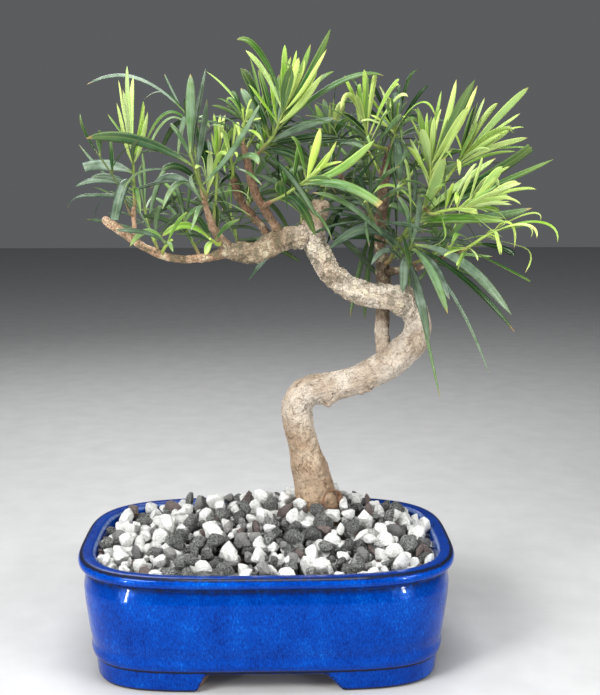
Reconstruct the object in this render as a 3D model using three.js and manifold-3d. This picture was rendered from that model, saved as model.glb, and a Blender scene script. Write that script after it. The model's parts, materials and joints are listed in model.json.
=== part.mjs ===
// Buddhist pine (Podocarpus) bonsai in a blue glazed pot.
// Millimetres, +Z up, front of the pot towards -Y, foot of the pot on z = 0.
import * as THREE from 'three';
import { mergeVertices } from 'three/addons/utils/BufferGeometryUtils.js';
import Module from 'manifold-3d';

const wasm = await Module();
wasm.setup();

// Driving dimensions.

// Half width, half depth and corner squareness of each level of the pot, foot to floor.
const POT_HEIGHT = 67;
const POT_LEVELS = [
  { z: 11.5, a: 82, b: 50, n: 4.6 },
  { z: 0, a: 82.6, b: 50.6, n: 4.6 },
  { z: 0, a: 93.6, b: 61.4, n: 4.6 },
  { z: 1.6, a: 94.8, b: 62.6, n: 4.6 },
  { z: 11.4, a: 95.8, b: 63.8, n: 4.5 },
  { z: 12.6, a: 96.8, b: 65, n: 4.4 },
  { z: 17, a: 98.2, b: 66.4, n: 4.3 },
  { z: 24, a: 98.9, b: 67.1, n: 4.2 },
  { z: 57, a: 101.6, b: 69.6, n: 3.8 },
  { z: 59.6, a: 101, b: 69, n: 3.7 },
  { z: 62, a: 104, b: 72, n: 3.6 },
  { z: 65.4, a: 105, b: 73, n: 3.5 },
  { z: POT_HEIGHT, a: 103.6, b: 71.6, n: 3.5 },
  { z: 66.4, a: 97, b: 65, n: 3.6 },
  { z: 64.4, a: 95.4, b: 63.4, n: 3.6 },
  { z: 22, a: 90.5, b: 58.5, n: 4 },
  { z: 17, a: 86, b: 54, n: 4 },
];
// The inner wall of the pot is the last levels from this one on.
const WALL_TOP = 14;
const POT_SIDES = 34;
// Cuts in the foot ring, left and right end of each at the ground and at the top.
const FRONT_CUT = { ground: [-38.5, 42], top: [-31.5, 29], height: 11 };
const SIDE_CUT = { ground: [-27, 27], top: [-19, 19], height: 11 };
const DRAIN = { radius: 8, x: 45, sides: 16 };
const SCREEN = { side: 26, thick: 1, hole: 5, pitch: 7.4, lift: 0.3 };

// The potting mix clears the pot by this much and rises to a mound round the trunk.
const MIX_GAP = 0.6;
const MOUND = { x: 26, y: 20, edge: 61, top: 82 };
const STONE = { pitch: 21.5, size: [6.6, 8.6], sink: 0.8 };

// Clearance between the wood and what it carries or stands in.
const SEAT_GAP = 0.35;

// Sides of each stretch of wood; a twig has five.
const SIDES = { trunk: 10, limb_left: 7, limb_right: 6 };

// Each stretch of wood: centre line points with their radius.
const WOOD = {
  trunk: [
    [34, 20, 51, 10.6], [32.6, 20, 69, 11.4], [30.2, 20, 80, 11.6], [27.5, 19.5, 90, 11.1],
    [24.8, 19, 101.4, 10.5], [22.1, 18.5, 111.2, 9.1], [20, 18, 120, 8.6], [18.3, 17.5, 129, 8.8],
    [17.7, 17, 137, 9], [20, 17, 143.3, 8.9], [25.8, 17, 147.2, 8.7], [34.5, 17, 149, 8.4],
    [45.5, 17, 151.5, 8.1], [57, 17, 155.3, 8.2], [68.7, 17, 161.4, 8.5], [78.3, 16, 169.2, 8.7],
    [84.7, 15, 177, 8.2], [86.7, 14, 185.8, 7.3], [84.5, 13, 194, 7.8], [78.5, 12, 199.6, 8],
    [71, 11.5, 202, 7.4], [61.8, 11, 203.2, 6.8], [52.2, 11, 205.5, 6.7], [44.2, 11, 209.8, 6.7],
    [37.4, 11, 216, 6.7], [31.7, 11, 224, 6.6], [28, 11, 232, 6.5], [26.8, 11, 239.2, 6.3],
    [28.6, 12, 247, 5.3], [31, 13, 255.8, 4.5],
  ],
  limb_left: [
    [27, 11, 236.4, 5.4], [20.9, 10, 236.8, 5.7], [13.6, 9, 236.8, 5.9], [6.9, 8, 234.4, 5.9],
    [-0.4, 7, 230, 5.6], [-8.8, 6, 228.2, 5.7], [-16, 5, 228.8, 5.3], [-22, 4, 228.9, 3.9],
    [-28.7, 3, 226.5, 2.6], [-36.3, 1, 225.6, 2.3], [-43, 0, 225, 2.2], [-51.5, -2, 226, 2.1],
    [-59, -3, 228, 2.2], [-67, -4, 232.4, 2.2], [-74, -5, 237, 2.2], [-80, -6, 242, 2.4],
    [-85.4, -6, 245.6, 2.5], [-88, -6, 247.6, 2],
  ],
  limb_right: [
    [70, 17.5, 160, 4.6], [68.3, 20, 169.7, 4.5], [67.3, 23, 178.6, 4.2], [67.9, 27, 188, 4],
    [68.4, 30, 198.3, 3.8], [68.9, 31, 208.2, 4], [68.2, 31, 217, 4.2], [66.9, 30, 226.4, 3.4],
    [66.2, 30, 234.5, 3.2], [66.7, 30, 243.7, 3.1], [67.6, 29, 253.5, 3.1], [67.8, 27, 263.3, 3],
    [68, 24, 273.5, 2.6], [69.2, 20, 281.3, 2.1], [70.2, 15.5, 286.5, 1.8],
  ],
  twig_tip: [[-69.6, -4.2, 233.6, 1.7], [-71.2, -4, 241, 1.6], [-71.5, -4, 248, 1.5], [-71.4, -4, 254, 1.4]],
  twig_left: [[-18.6, 4.2, 228.6, 3.6], [-24.7, 3, 235.4, 3.1], [-29, 2, 242.6, 2.4],
    [-31.6, 1, 250.3, 2], [-33.4, 0.4, 257, 1.8]],
  twig_back: [[4.7, 9.5, 233.5, 2.8], [-1.5, 13, 242, 2.3], [-7.6, 15, 248, 2.4], [-12.7, 15, 254.7, 2.6],
    [-15.9, 14, 262, 2.5], [-18, 12, 268.6, 2.2]],
  twig_main: [[8.4, 8, 235.4, 3.4], [3, 7, 246.7, 2.8], [-1.4, 6, 254, 2.5], [-5.2, 5, 261, 2.5],
    [-7.9, 4, 269.3, 2.5], [-9.4, 3, 276.4, 2.3], [-11, 3, 282.8, 2], [-12.1, 4, 287.4, 1.8]],
  twig_fore: [[-1.6, 5.6, 253, 1.9], [0.9, 2, 255.2, 1.7], [3.1, -2, 256.4, 1.5]],
  twig_apex: [[-10.4, 2.8, 279.6, 1.8], [-7.2, 1, 281.2, 1.5], [-4.9, 0.2, 282, 1.4]],
  twig_low: [[68.6, 30, 214.6, 2.9], [76.6, 27, 216, 2.4], [84, 22, 217.2, 2.2], [90.3, 17, 219.4, 1.9],
    [96.3, 12, 223.2, 1.6], [103, 6, 226.6, 1.5], [107.6, 2.6, 228.8, 1.4]],
  twig_inner: [[66.6, 29.6, 240.4, 2.4], [59.4, 29.4, 249.6, 1.9], [51, 28, 258.8, 1.7],
    [44, 25.8, 268, 1.6], [39, 24.2, 279.4, 1.4]],
};

// Leafy shoots. stem: foot to tip. free: leaves set by rule, their length at the foot and
// at the tip, tone (0 dark to 1 lime). leaves: the ones seen best, as place along the stem,
// tip x y z, width, rise of the arch, how far the blade faces the front, tone, clipped tip.
const SHOOTS = [
  {
    name: 'left_tip',
    stem: [[-71, -4, 255], [-71, -5, 265], [-71, -6, 276], [-71, -6, 285]],
    free: [3, 46, 30, 0.25],
    leaves: [
      [1, -73, -8, 328, 4, 2, 0.8, 0.95], [1, -71, -3, 323, 4.3, 0, 0.9, 1],
      [0.96, -74, -13, 316, 4, -2, 0.8, 0.95], [0.96, -66, 1, 310, 4.3, -2, 0.9, 0.85],
      [0.9, -62, -12, 304, 4, -3, 0.7, 0.95], [0.9, -77, -15, 308, 3.4, -3, 0.5, 1],
      [0.55, -96, -16, 275, 5.6, 3, 1, -0.4, 1], [0.4, -93, -10, 270, 4.3, 2, 0.6, 0.2],
      [0.35, -103, -1, 265, 3.9, 4, 0.4, -0.2], [0.5, -79, -17, 247, 5.2, 8, 0.9, -0.2, 1],
      [0.35, -67, -18, 251, 3.4, 8, 0.4, 0.6], [0.4, -102, 2, 287, 2.9, -3, 0.1, 0.2],
    ],
  },
  {
    name: 'left_low',
    stem: [[-73, -7.5, 250], [-77, -13, 263], [-83, -19, 275], [-88, -22, 283]],
    free: [2, 34, 24, 0.5],
    leaves: [
      [0.9, -86, -28, 293, 4.3, 3, 0.6, 0.7], [0.6, -82, -14, 291, 3.4, 0, 0.3, 0.3],
    ],
  },
  {
    name: 'left_crown',
    stem: [[-35, 4, 261], [-37, 8, 274], [-40, 11, 290], [-43, 13, 304]],
    free: [3, 48, 40, 0.15],
    leaves: [
      [1, -98, 16, 320, 3.1, 12, 0.1, 0.2], [1, -68, 20, 312, 3.4, 8, 0.2, 0.2],
      [0.96, -66, 2, 286, 4.3, 12, 0.5, 0.55], [0.97, -65, 13, 285, 3.9, 10, 0.4, 0.75],
      [0.95, -47, -2, 280, 4.3, 14, 0.6, 0.35], [0.97, -30, 7, 296, 3.9, 8, 0.4, 0.5],
      [0.9, -59, 22, 282, 4.3, 6, 0.4, 0.1], [0.8, -44, 24, 314, 3.9, -2, 0.5, 0.3],
    ],
  },
  {
    name: 'left_front',
    stem: [[-32, -3, 260], [-36, -8, 268], [-38, -12, 276], [-40, -14, 283]],
    free: [3, 46, 36, 0.2],
    leaves: [
      [1, -39, -16, 324, 5.4, 0, 1, 0.25], [0.9, -32, -8, 327, 3.9, -3, 0.5, 0.1],
      [0.75, -92, -26, 290, 6, 5, 1, 0.2], [0.7, -31, -3, 311, 4.3, -4, 0.7, 0.1],
      [0.4, -1, -16, 310, 4, -4, 0.8, 0.2], [0.55, -54, -30, 274, 5.2, 4, 0.8, 0.1],
    ],
  },
  {
    name: 'left_young',
    stem: [[-33, 3, 254], [-33, 2, 258], [-31, 2, 264]],
    free: [2, 40, 26, 0.6],
    leaves: [
      [1, -30, -2, 284, 4, 0, 0.8, 0.95], [1, -27, -10, 279, 3.1, -2, 0.5, 1],
      [0.9, -20, -12, 279, 3.1, 10, 0.4, 0.95], [1, -36, -12, 273, 3.4, 6, 0.6, 0.8],
      [0.3, -66, -9, 261, 5.2, 10, 0.6, 0], [0.2, -53, -14, 252, 4.3, 13, 0.3, 0.4],
      [0.25, -44, -2, 249, 4.3, 13, 0.3, 0.3], [0.05, -46, -8, 243, 3.4, 2, 0.5, 0.35],
    ],
  },
  {
    name: 'left_lime',
    stem: [[-29, 5, 243], [-28, 9, 254], [-27, 12, 268], [-27, 12, 282]],
    free: [3, 44, 34, 0.3],
    leaves: [
      [1, -28, 7, 304, 3.6, -1, 0.6, 0.95], [1, -25, 13, 304, 3.4, 0, 0.8, 0.9],
      [1, -22, 18, 304, 3.4, 2, 0.6, 0.8], [0.9, -18, 6, 297, 3.4, 3, 0.6, 0.7],
      [0.45, -26, 0, 239, 3.4, 6, 0.3, 0.45], [0.8, -38, 18, 300, 5.2, -1, 0.9, 0.05],
      [0.7, -33, 22, 291, 4.3, 0, 0.6, 0],
    ],
  },
  {
    name: 'left_curl',
    stem: [[-18, 11, 270], [-18, 8, 275], [-19, 4, 280]],
    free: [2, 40, 28, 0.5],
    leaves: [
      [1, -22, 0, 296, 3.4, -3, 0.6, 0.95], [1, -12, 6, 300, 3.4, -3, 0.6, 0.9],
      [1, -23, -7, 288, 3.4, 8, 0.5, 1], [1, -14, -9, 289, 3.9, 12, 0.6, 1],
      [0.8, -4, -5, 275, 5.2, 5, 0.6, 0.3], [0.6, -32, -2, 270, 4.3, 4, 0.5, 0.2],
    ],
  },
  {
    name: 'mid',
    stem: [[-12, 5, 290], [-12, 4, 295], [-11, 2, 300]],
    free: [2, 44, 30, 0.4],
    leaves: [
      [1, -21, 4, 310, 3.1, 5, 0.3, 0.75], [1, -7, -5, 306, 3.9, 0, 0.6, 0.85],
      [0.9, -18, 12, 316, 3.4, 3, 0.4, 0.3], [0.6, -2, -8, 289, 3.4, 3, 0.4, 0.9],
    ],
  },
  {
    name: 'apex',
    stem: [[-3, 0, 283], [0, -3, 287], [4, -5, 291], [8, -8, 300], [11, -10, 307]],
    free: [3, 48, 42, 0.25],
    leaves: [
      [1, -15, -14, 342, 4.3, 9, 0.7, 0.35], [0.95, -9, -21, 336, 3.4, 2, 0.8, 0.95],
      [1, 11, -8, 340, 4, 0, 1, 0.8], [1, 18, -17, 332, 4.6, 0, 1, 0.95],
      [1, 25, -4, 341, 4, -3, 0.8, 0.5], [0.95, 34, -11, 346, 4.8, -3, 0.9, 0.4],
      [0.92, 32, -22, 336, 3.4, -4, 0.7, 0.95], [0.75, 30, -28, 322, 4, -3, 0.8, 0.95],
      [0.5, -13, 5, 328, 5.2, 4, 0.9, 0.2], [0.35, -13, -14, 316, 5.6, 2, 1, 0.2],
      [0.75, -3, 3, 328, 2.6, -3, 0.2, 0.6], [0.7, -32, 12, 330, 2.9, -2, 0.2, 0.8],
      [0.6, 67, 6, 326, 4.3, 9, 0.6, 0.3], [0.4, 38, 2, 302, 5.2, 1, 0.7, 0.1],
      [0.3, 41, 12, 291, 5.2, 2, 0.7, 0.1], [0.08, 24, -7, 274, 5.6, 4, 0.8, 0.2],
      [0.7, 8, 7, 325, 4.3, 0, 0.6, 0.3], [0.2, 1, -16, 297, 4.3, 1, 1, 0.75],
      [0.3, 20, 20, 312, 5.2, 0, 0.7, 0.15],
    ],
  },
  {
    name: 'fore',
    stem: [[4, -3, 257], [10, -7, 260], [17, -12, 265], [24, -16, 270]],
    free: [3, 46, 36, 0.3],
    leaves: [
      [0.9, 14, -22, 291, 3.4, 5, 0.5, 0.6], [0.97, 29, -17, 296, 5.6, -2, 1, 0.95],
      [1, 38, -23, 289, 3.4, -4, 0.6, 0.95], [1, 57, -28, 289, 5.6, -4, 0.9, 0.75],
      [0.92, 60, -32, 256, 5.6, 4, 0.9, 0.4, 1], [0.55, 27, -17, 239, 5.2, 6, 0.8, 0.2],
      [0.3, 7, -12, 268, 6, 0, 1, 0.4], [0.35, 13, -4, 276, 4.3, 3, 0.6, 0.6],
      [0.15, 18, -12, 251, 2.9, 3, 0.2, 0.5],
    ],
  },
  {
    name: 'centre',
    stem: [[69, 16, 285], [64, 13, 286], [58, 9, 289], [55, 5, 296]],
    free: [3, 46, 34, 0.35],
    leaves: [
      [1, 44, 2, 325, 3.1, -2, 0.3, 0.8], [1, 54, -1, 327, 4.3, 0, 0.9, 0.9],
      [1, 61, 8, 326, 4, 3, 0.7, 0.9], [0.95, 72, -5, 322, 3.4, 3, 0.5, 0.9],
      [0.95, 73, 5, 319, 3.4, 6, 0.6, 0.85], [0.9, 76, -9, 313, 3.4, 6, 0.3, 0.8],
      [0.95, 51, 11, 320, 3.4, 4, 0.6, 0.8], [1, 49, -8, 313, 4, 2, 0.5, 0.85],
      [0.9, 40, -12, 306, 4.3, 12, 0.7, 1],
    ],
  },
  {
    name: 'crown',
    stem: [[71, 14, 288], [72, 12, 292], [72, 10, 296]],
    free: [3, 46, 38, 0.3],
    leaves: [
      [1, 72, 6, 316, 5.7, 0, 1, -0.2], [0.6, 73, -4, 266, 5.7, 6, 1, 0.05],
      [1, 93, 2, 303, 2.2, 10, 0.1, 0.7], [1, 84, 9, 299, 3.4, 4, 0.5, 0.4],
      [0.8, 63, 20, 302, 4.3, 2, 0.5, 0.3],
    ],
  },
  {
    name: 'inner',
    stem: [[38, 24, 283], [37, 22, 287], [36, 20, 293]],
    free: [3, 48, 38, 0.2],
    leaves: [
      [1, 33, 18, 313, 4.8, 0, 1, 0.15], [1, 28, 25, 310, 4.3, -1, 0.9, 0.5],
      [1, 38, 12, 313, 2.6, -2, 0.2, 0.85], [1, 44, 9, 310, 5.2, 4, 1, 1],
      [0.8, 47, 16, 301, 4.3, 3, 0.8, 0.3],
    ],
  },
  {
    name: 'right',
    stem: [[71, 26, 221], [75, 18, 231], [81, 10, 243], [88, 3, 253]],
    free: [3, 50, 44, 0.15],
    leaves: [
      [0.97, 94, -12, 279, 6, -1, 1, 0.8], [0.95, 52, -7, 255, 2.6, 12, 0.3, 0.85],
      [0.97, 157, -4, 279, 4.3, -3, 0.3, 0.4], [0.97, 145, -8, 253, 6, -5, 0.8, 0.25],
      [0.9, 129, -16, 246, 6, 1, 0.8, 0.6], [0.92, 124, -11, 280, 4.3, 2, 0.7, 0.85],
      [0.95, 147, 9, 286, 6, -3, 0.7, 0.25, 1], [0.75, 68, -3, 254, 4.3, 4, 0.6, 0.2],
      [0.8, 77, 4, 281, 3.1, 6, 0.3, 0.8],
    ],
  },
  {
    name: 'right_up',
    stem: [[89, 4, 256], [91, 5, 263], [91, 5, 270], [91, 4, 277]],
    free: [3, 46, 36, 0.5],
    leaves: [
      [1, 84, 8, 308, 4.3, -1, 0.8, 0.7], [1, 92, 0, 302, 4.3, 0, 0.9, 0.98],
      [0.9, 83, -7, 296, 5.2, 3, 0.9, 0.9], [0.7, 76, -9, 286, 3.4, 3, 0.5, 0.95],
      [1, 105, 6, 324, 4, -1, 0.8, 0.8], [0.9, 112, -8, 322, 6, -1, 1, 0.3],
      [0.95, 118, 12, 319, 4, -2, 0.8, 0.95], [1, 108, -2, 306, 4.8, 0, 0.9, 0.85],
    ],
  },
  {
    name: 'right_fan',
    stem: [[91, 8, 257], [99, 11, 265], [106, 13, 275], [113, 13, 284]],
    free: [3, 44, 34, 0.6],
    leaves: [
      [1, 128, 8, 310, 4, 2, 0.7, 0.95], [1, 143, 3, 318, 4.8, 1, 0.8, 0.8],
      [0.9, 135, 0, 294, 3.4, 6, 0.4, 0.85], [0.9, 137, 14, 296, 4.3, 0, 0.6, 0.7],
      [0.85, 142, -6, 291, 4.3, 3, 0.6, 0.85], [1, 117, 19, 309, 4.3, 0, 0.5, 0.4],
      [0.9, 103, 2, 295, 3.4, 1, 0.6, 0.95], [0.8, 106, -6, 271, 3.4, 4, 0.5, 0.95],
    ],
  },
  {
    name: 'right_side',
    stem: [[91, -3, 250], [99, -6, 252], [107, -8, 253], [114, -9, 254]],
    free: [3, 40, 30, 0.75],
    leaves: [
      [1, 137, -8, 267, 4.8, 2, 0.8, 0.9], [1, 126, -12, 275, 5.2, 0, 0.9, 0.9],
      [0.9, 129, -16, 262, 3.1, 10, 0.3, 0.85], [0.7, 102, -20, 256, 4.3, 6, 0.8, 0.95],
      [1, 134, 3, 260, 5.2, -1, 0.8, 0.9], [0.8, 124, 6, 265, 4.3, -1, 0.8, 0.95],
    ],
  },
  {
    name: 'right_low',
    stem: [[110, 0, 230], [114, -3, 233], [119, -6, 237], [124, -8, 240]],
    free: [3, 38, 30, 0.75],
    leaves: [
      [1, 136, -14, 231, 3.4, 12, 0.7, 0.95], [1, 159, -4, 234, 3.1, 9, 0.5, 0.9],
      [1, 145, -15, 237, 3.9, 7, 0.6, 0.9], [0.9, 126, -19, 229, 4.3, 9, 0.8, 0.95],
      [0.6, 137, -1, 227, 4.3, 2, 0.5, 0, 1], [0.3, 148, 4, 211, 2.6, 1, 0.1, 0.4],
      [0.1, 98, 9, 225, 5.2, 2, 0.9, 0.85], [0.1, 106, 13, 222, 4.3, 0, 0.7, 0.8],
    ],
  },
  {
    name: 'droop',
    stem: [[79, 23, 218], [80, 16, 225], [81, 8, 230], [83, 0, 233]],
    free: [3, 52, 46, 0.1],
    leaves: [
      [1, 136, -16, 195, 6, 8, 0.9, 0.3], [0.95, 140, -6, 184, 3.9, 6, 0.3, 0.1],
      [0.9, 99, -19, 197, 5.2, 3, 0.8, 0.3], [0.85, 102, -9, 203, 5.2, 4, 0.8, -0.2],
      [1, 127, -2, 159, 2.9, 9, 0.1, 0.3], [0.6, 90, -13, 180, 5.6, 5, 0.9, 0.1],
      [0.5, 97, -9, 147, 2.6, 6, 0.1, 0.3], [0.4, 75, -8, 207, 5.6, 4, 0.9, 0.05],
      [0.5, 34, -8, 231, 5.2, 12, 0.6, -0.1], [0.35, 26, -13, 261, 4.3, 6, 0.5, 0.25],
      [0.3, 58, -2, 222, 4.3, 8, 0.5, 0.1],
    ],
  },
  {
    name: 'hang_left',
    stem: [[-56, -6, 230], [-54, -12, 233], [-50, -18, 237]],
    free: [1, 34, 24, 0.5],
    leaves: [
      [0.6, -72, -16, 233, 4, 8, 0.5, 0.65], [0.8, -79, -12, 242, 3.4, 2, 0.4, 0.1],
      [0.5, -48, -26, 231, 3.1, 4, 0.4, 0.5],
    ],
  },
  {
    name: 'hang_fore',
    stem: [[-26, -1, 233], [-28, -6, 235], [-30, -11, 237]],
    free: [2, 36, 26, 0.5],
    leaves: [
      [0.9, -57, -15, 238, 4.8, 6, 0.7, 0.6], [0.7, -33, -17, 229, 4.3, 1, 0.9, 0.7],
      [1, -40, -16, 250, 4.3, 3, 0.5, 0.2],
    ],
  },
  {
    name: 'back_tip',
    stem: [[-60, 3, 231], [-64, 16, 237], [-68, 28, 244], [-70, 36, 253]],
    free: [7, 50, 34, 0.35],
    leaves: [],
  },
  {
    name: 'back_left',
    stem: [[-38, 6, 229], [-42, 20, 234], [-46, 33, 240], [-49, 43, 249]],
    free: [7, 50, 34, 0.3],
    leaves: [],
  },
  {
    name: 'back_limb',
    stem: [[-16, 11, 232], [-17, 28, 237], [-20, 43, 244], [-21, 54, 253]],
    free: [7, 52, 36, 0.3],
    leaves: [
      [0.1, 20, 24, 221, 3.4, 3, 0.4, 0.2],
    ],
  },
  {
    name: 'back_twig',
    stem: [[-10, 18, 252], [-10, 32, 258], [-9, 46, 265], [-7, 56, 274]],
    free: [7, 50, 36, 0.4],
    leaves: [],
  },
  {
    name: 'back_fork',
    stem: [[21, 18, 243], [21, 32, 250], [23, 46, 258], [26, 57, 267]],
    free: [7, 52, 36, 0.3],
    leaves: [
      [0.1, -10, 30, 210, 3.9, 2, 0.6, -0.3],
    ],
  },
  {
    name: 'back_stub',
    stem: [[30, 18, 249], [32, 28, 256], [36, 38, 265], [41, 46, 273]],
    free: [6, 50, 38, 0.2],
    leaves: [],
  },
  {
    name: 'back_low',
    stem: [[67, 36, 246], [66, 50, 253], [64, 64, 261], [61, 74, 270]],
    free: [7, 52, 38, 0.25],
    leaves: [
      [0.1, 50, 44, 186, 3.4, 3, 0.3, 0.3], [0.15, 60, 56, 183, 3.9, 3, 0.4, 0.2],
    ],
  },
  {
    name: 'back_mid',
    stem: [[69, 34, 257], [79, 48, 263], [87, 60, 270], [95, 70, 279]],
    free: [7, 50, 36, 0.45],
    leaves: [],
  },
  {
    name: 'back_right',
    stem: [[72, 36, 232], [83, 48, 234], [93, 59, 238], [103, 67, 245]],
    free: [7, 50, 36, 0.4],
    leaves: [],
  },
  {
    name: 'back_crown',
    stem: [[66, 28, 271], [64, 38, 277], [60, 48, 285], [56, 55, 293]],
    free: [7, 50, 34, 0.5],
    leaves: [],
  },
  {
    name: 'back_fan',
    stem: [[85, 24, 220], [94, 34, 222], [103, 44, 225], [112, 52, 229]],
    free: [7, 48, 34, 0.4],
    leaves: [],
  },
  {
    name: 'front_mid',
    stem: [[65, 24, 236], [61, 8, 243], [57, -7, 250], [54, -17, 257]],
    free: [3, 46, 36, 0.1],
    leaves: [],
  },
  {
    name: 'back_apex',
    stem: [[-11, 8, 284], [-8, 20, 290], [-5, 31, 296], [-1, 39, 305]],
    free: [7, 50, 36, 0.4],
    leaves: [],
  },
];

// Turn between two leaves on a stem, and the slope and droop of leaves from foot to tip.
const LEAF_TURN = THREE.MathUtils.degToRad(137.5);
const LEAF_SLOPE = [84, 24];
const LEAF_DROOP = [0.42, 0.04];
const LEAF_THICK = 1;
const STEM_RADIUS = [1.8, 1.2];

const COLOURS = {
  glaze: { color: 0x0f3fb4, roughness: 0.16, metalness: 0 },
  screen: { color: 0x1c1c1c, roughness: 0.7, metalness: 0 },
  gravel: { color: 0x8b8985, roughness: 0.95, metalness: 0 },
  bark: { color: 0x9c8a70, roughness: 0.9, metalness: 0 },
};
const LEAF_COLOURS = [0x1f4a2a, 0x2f6434, 0x4d8438, 0x7aaa3e, 0xa5cb50];

// Small helpers.

const vec = (x, y, z) => new THREE.Vector3(x, y, z);
const mix = (a, b, t) => a + (b - a) * t;
const UP = vec(0, 0, 1);
const FRONT = vec(0, -0.98, 0.2);

// Repeatable random numbers from 0 to 1.
function dice(seed) {
  let state = seed >>> 0;
  return () => {
    state = (state + 0x6d2b79f5) >>> 0;
    let t = state;
    t = Math.imul(t ^ (t >>> 15), t | 1);
    t ^= t + Math.imul(t ^ (t >>> 7), t | 61);
    return ((t ^ (t >>> 14)) >>> 0) / 4294967296;
  };
}

// Closed body from corner points and triangles, turned outwards.
function body(points, triangles) {
  const build = (list) => new wasm.Manifold(new wasm.Mesh({
    numProp: 3,
    vertProperties: new Float32Array(points.flatMap((p) => [p.x, p.y, p.z])),
    triVerts: new Uint32Array(list.flat()),
  }));
  let made = 0;
  for (const [i, j, k] of triangles) made += points[i].dot(points[j].clone().cross(points[k]));
  return build(made < 0 ? triangles.map(([i, j, k]) => [i, k, j]) : triangles);
}

// Skin over a row of loops with the same number of corners, closed at both ends.
function skin(loops, { start = null, end = null } = {}) {
  const points = loops.flat();
  const count = loops[0].length;
  const triangles = [];
  for (let ring = 0; ring + 1 < loops.length; ring += 1) {
    for (let i = 0; i < count; i += 1) {
      const a = ring * count + i;
      const b = ring * count + ((i + 1) % count);
      triangles.push([a, b, b + count], [a, b + count, a + count]);
    }
  }
  const close = (first, tip, flip) => {
    const push = (i, j, k) => triangles.push(flip ? [i, k, j] : [i, j, k]);
    if (tip) {
      points.push(tip);
      for (let i = 0; i < count; i += 1) push(points.length - 1, first + ((i + 1) % count), first + i);
    } else {
      for (let i = 1; i + 1 < count; i += 1) push(first, first + i + 1, first + i);
    }
  };
  close(0, start, false);
  close((loops.length - 1) * count, end, true);
  return body(points, triangles);
}

// Rounded oblong of half sizes a and b; n sets how square the corners are.
function oblong({ a, b, n, z }, count = POT_SIDES) {
  return Array.from({ length: count }, (_, i) => {
    const turn = (2 * Math.PI * (i + 0.5)) / count;
    const part = (value) => Math.sign(value) * Math.abs(value) ** (2 / n);
    return vec(a * part(Math.cos(turn)), b * part(Math.sin(turn)), z);
  });
}

// Flat outline in x-z, run along y from one value to another (or x and y swapped).
function prism(outline, from, to, alongX = false) {
  const place = (u, w, z) => (alongX ? vec(w, u, z) : vec(u, w, z));
  return skin([from, to].map((w) => outline.map(([u, z]) => place(u, w, z))));
}

// Frames along a row of points, turned as little as possible from one to the next.
function frames(points) {
  const result = [];
  let side = null;
  points.forEach((point, i) => {
    const before = points[Math.max(i - 1, 0)];
    const after = points[Math.min(i + 1, points.length - 1)];
    const along = after.clone().sub(before).normalize();
    if (!side) side = Math.abs(along.y) < 0.8 ? vec(0, 1, 0) : vec(1, 0, 0);
    side = side.clone().addScaledVector(along, -side.dot(along)).normalize();
    result.push({ point, along, side, across: along.clone().cross(side) });
  });
  return result;
}

// Round rod through points with a radius at each, its surface roughened by a share.
function rod(line, { sides, rough = 0, seed = 1, grow = 0 }) {
  const random = dice(seed);
  const path = frames(line.map(([x, y, z]) => vec(x, y, z)));
  const rings = path.map((frame, i) => Array.from({ length: sides }, (_, k) => {
    const turn = (2 * Math.PI * k) / sides;
    const radius = line[i][3] * (1 + rough * (2 * random() - 1)) + grow;
    return frame.point.clone()
      .addScaledVector(frame.side, radius * Math.cos(turn))
      .addScaledVector(frame.across, radius * Math.sin(turn));
  }));
  const end = path[path.length - 1];
  const tip = line[line.length - 1][3] * 0.35 + grow;
  return skin(rings, { end: end.point.clone().addScaledVector(end.along, tip) });
}

function box(x0, x1, y0, y1, z0, z1) {
  return skin([z0, z1].map((z) => [vec(x0, y0, z), vec(x1, y0, z), vec(x1, y1, z), vec(x0, y1, z)]));
}

const join = (solids) => wasm.Manifold.union(solids);

// Largest piece of a body, without slivers, sealed hollows and the scraps of a cut.
function tidy(solid, sliver) {
  const pieces = solid.simplify(sliver).decompose();
  return pieces.reduce((best, piece) => (piece.volume() > best.volume() ? piece : best));
}

// Outline of a cut in the foot ring: a soft S at each end, wider at the ground.
function footCut({ ground, top, height }) {
  const bend = (side) => [[ground[side], -1], [ground[side], 1.5],
    [mix(ground[side], top[side], 0.32), 3.4], [mix(ground[side], top[side], 0.6), 8],
    [top[side], height]];
  return [...bend(1), ...bend(0).reverse()];
}

function drainHole(x) {
  const ring = (z) => Array.from({ length: DRAIN.sides }, (_, i) => {
    const turn = (2 * Math.PI * i) / DRAIN.sides;
    return vec(x + DRAIN.radius * Math.cos(turn), DRAIN.radius * Math.sin(turn), z);
  });
  return skin([ring(5), ring(25)]);
}

function makePot() {
  const shell = skin(POT_LEVELS.map((level) => oblong(level)));
  const front = footCut(FRONT_CUT);
  const side = footCut(SIDE_CUT);
  return shell.subtract(join([
    prism(front, -90, -48), prism(front, 48, 90),
    prism(side, -120, -80, true), prism(side, 80, 120, true),
    drainHole(-DRAIN.x), drainHole(DRAIN.x),
  ]));
}

function makeScreen(x) {
  const floor = POT_LEVELS[POT_LEVELS.length - 1].z + SCREEN.lift;
  const half = SCREEN.side / 2;
  const plate = box(x - half, x + half, -half, half, floor, floor + SCREEN.thick);
  const holes = [];
  for (const i of [-1, 0, 1]) {
    for (const j of [-1, 0, 1]) {
      const cx = x + i * SCREEN.pitch;
      const cy = j * SCREEN.pitch;
      const h = SCREEN.hole / 2;
      holes.push(box(cx - h, cx + h, cy - h, cy + h, floor - 1, floor + SCREEN.thick + 1));
    }
  }
  return plate.subtract(join(holes));
}

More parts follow.
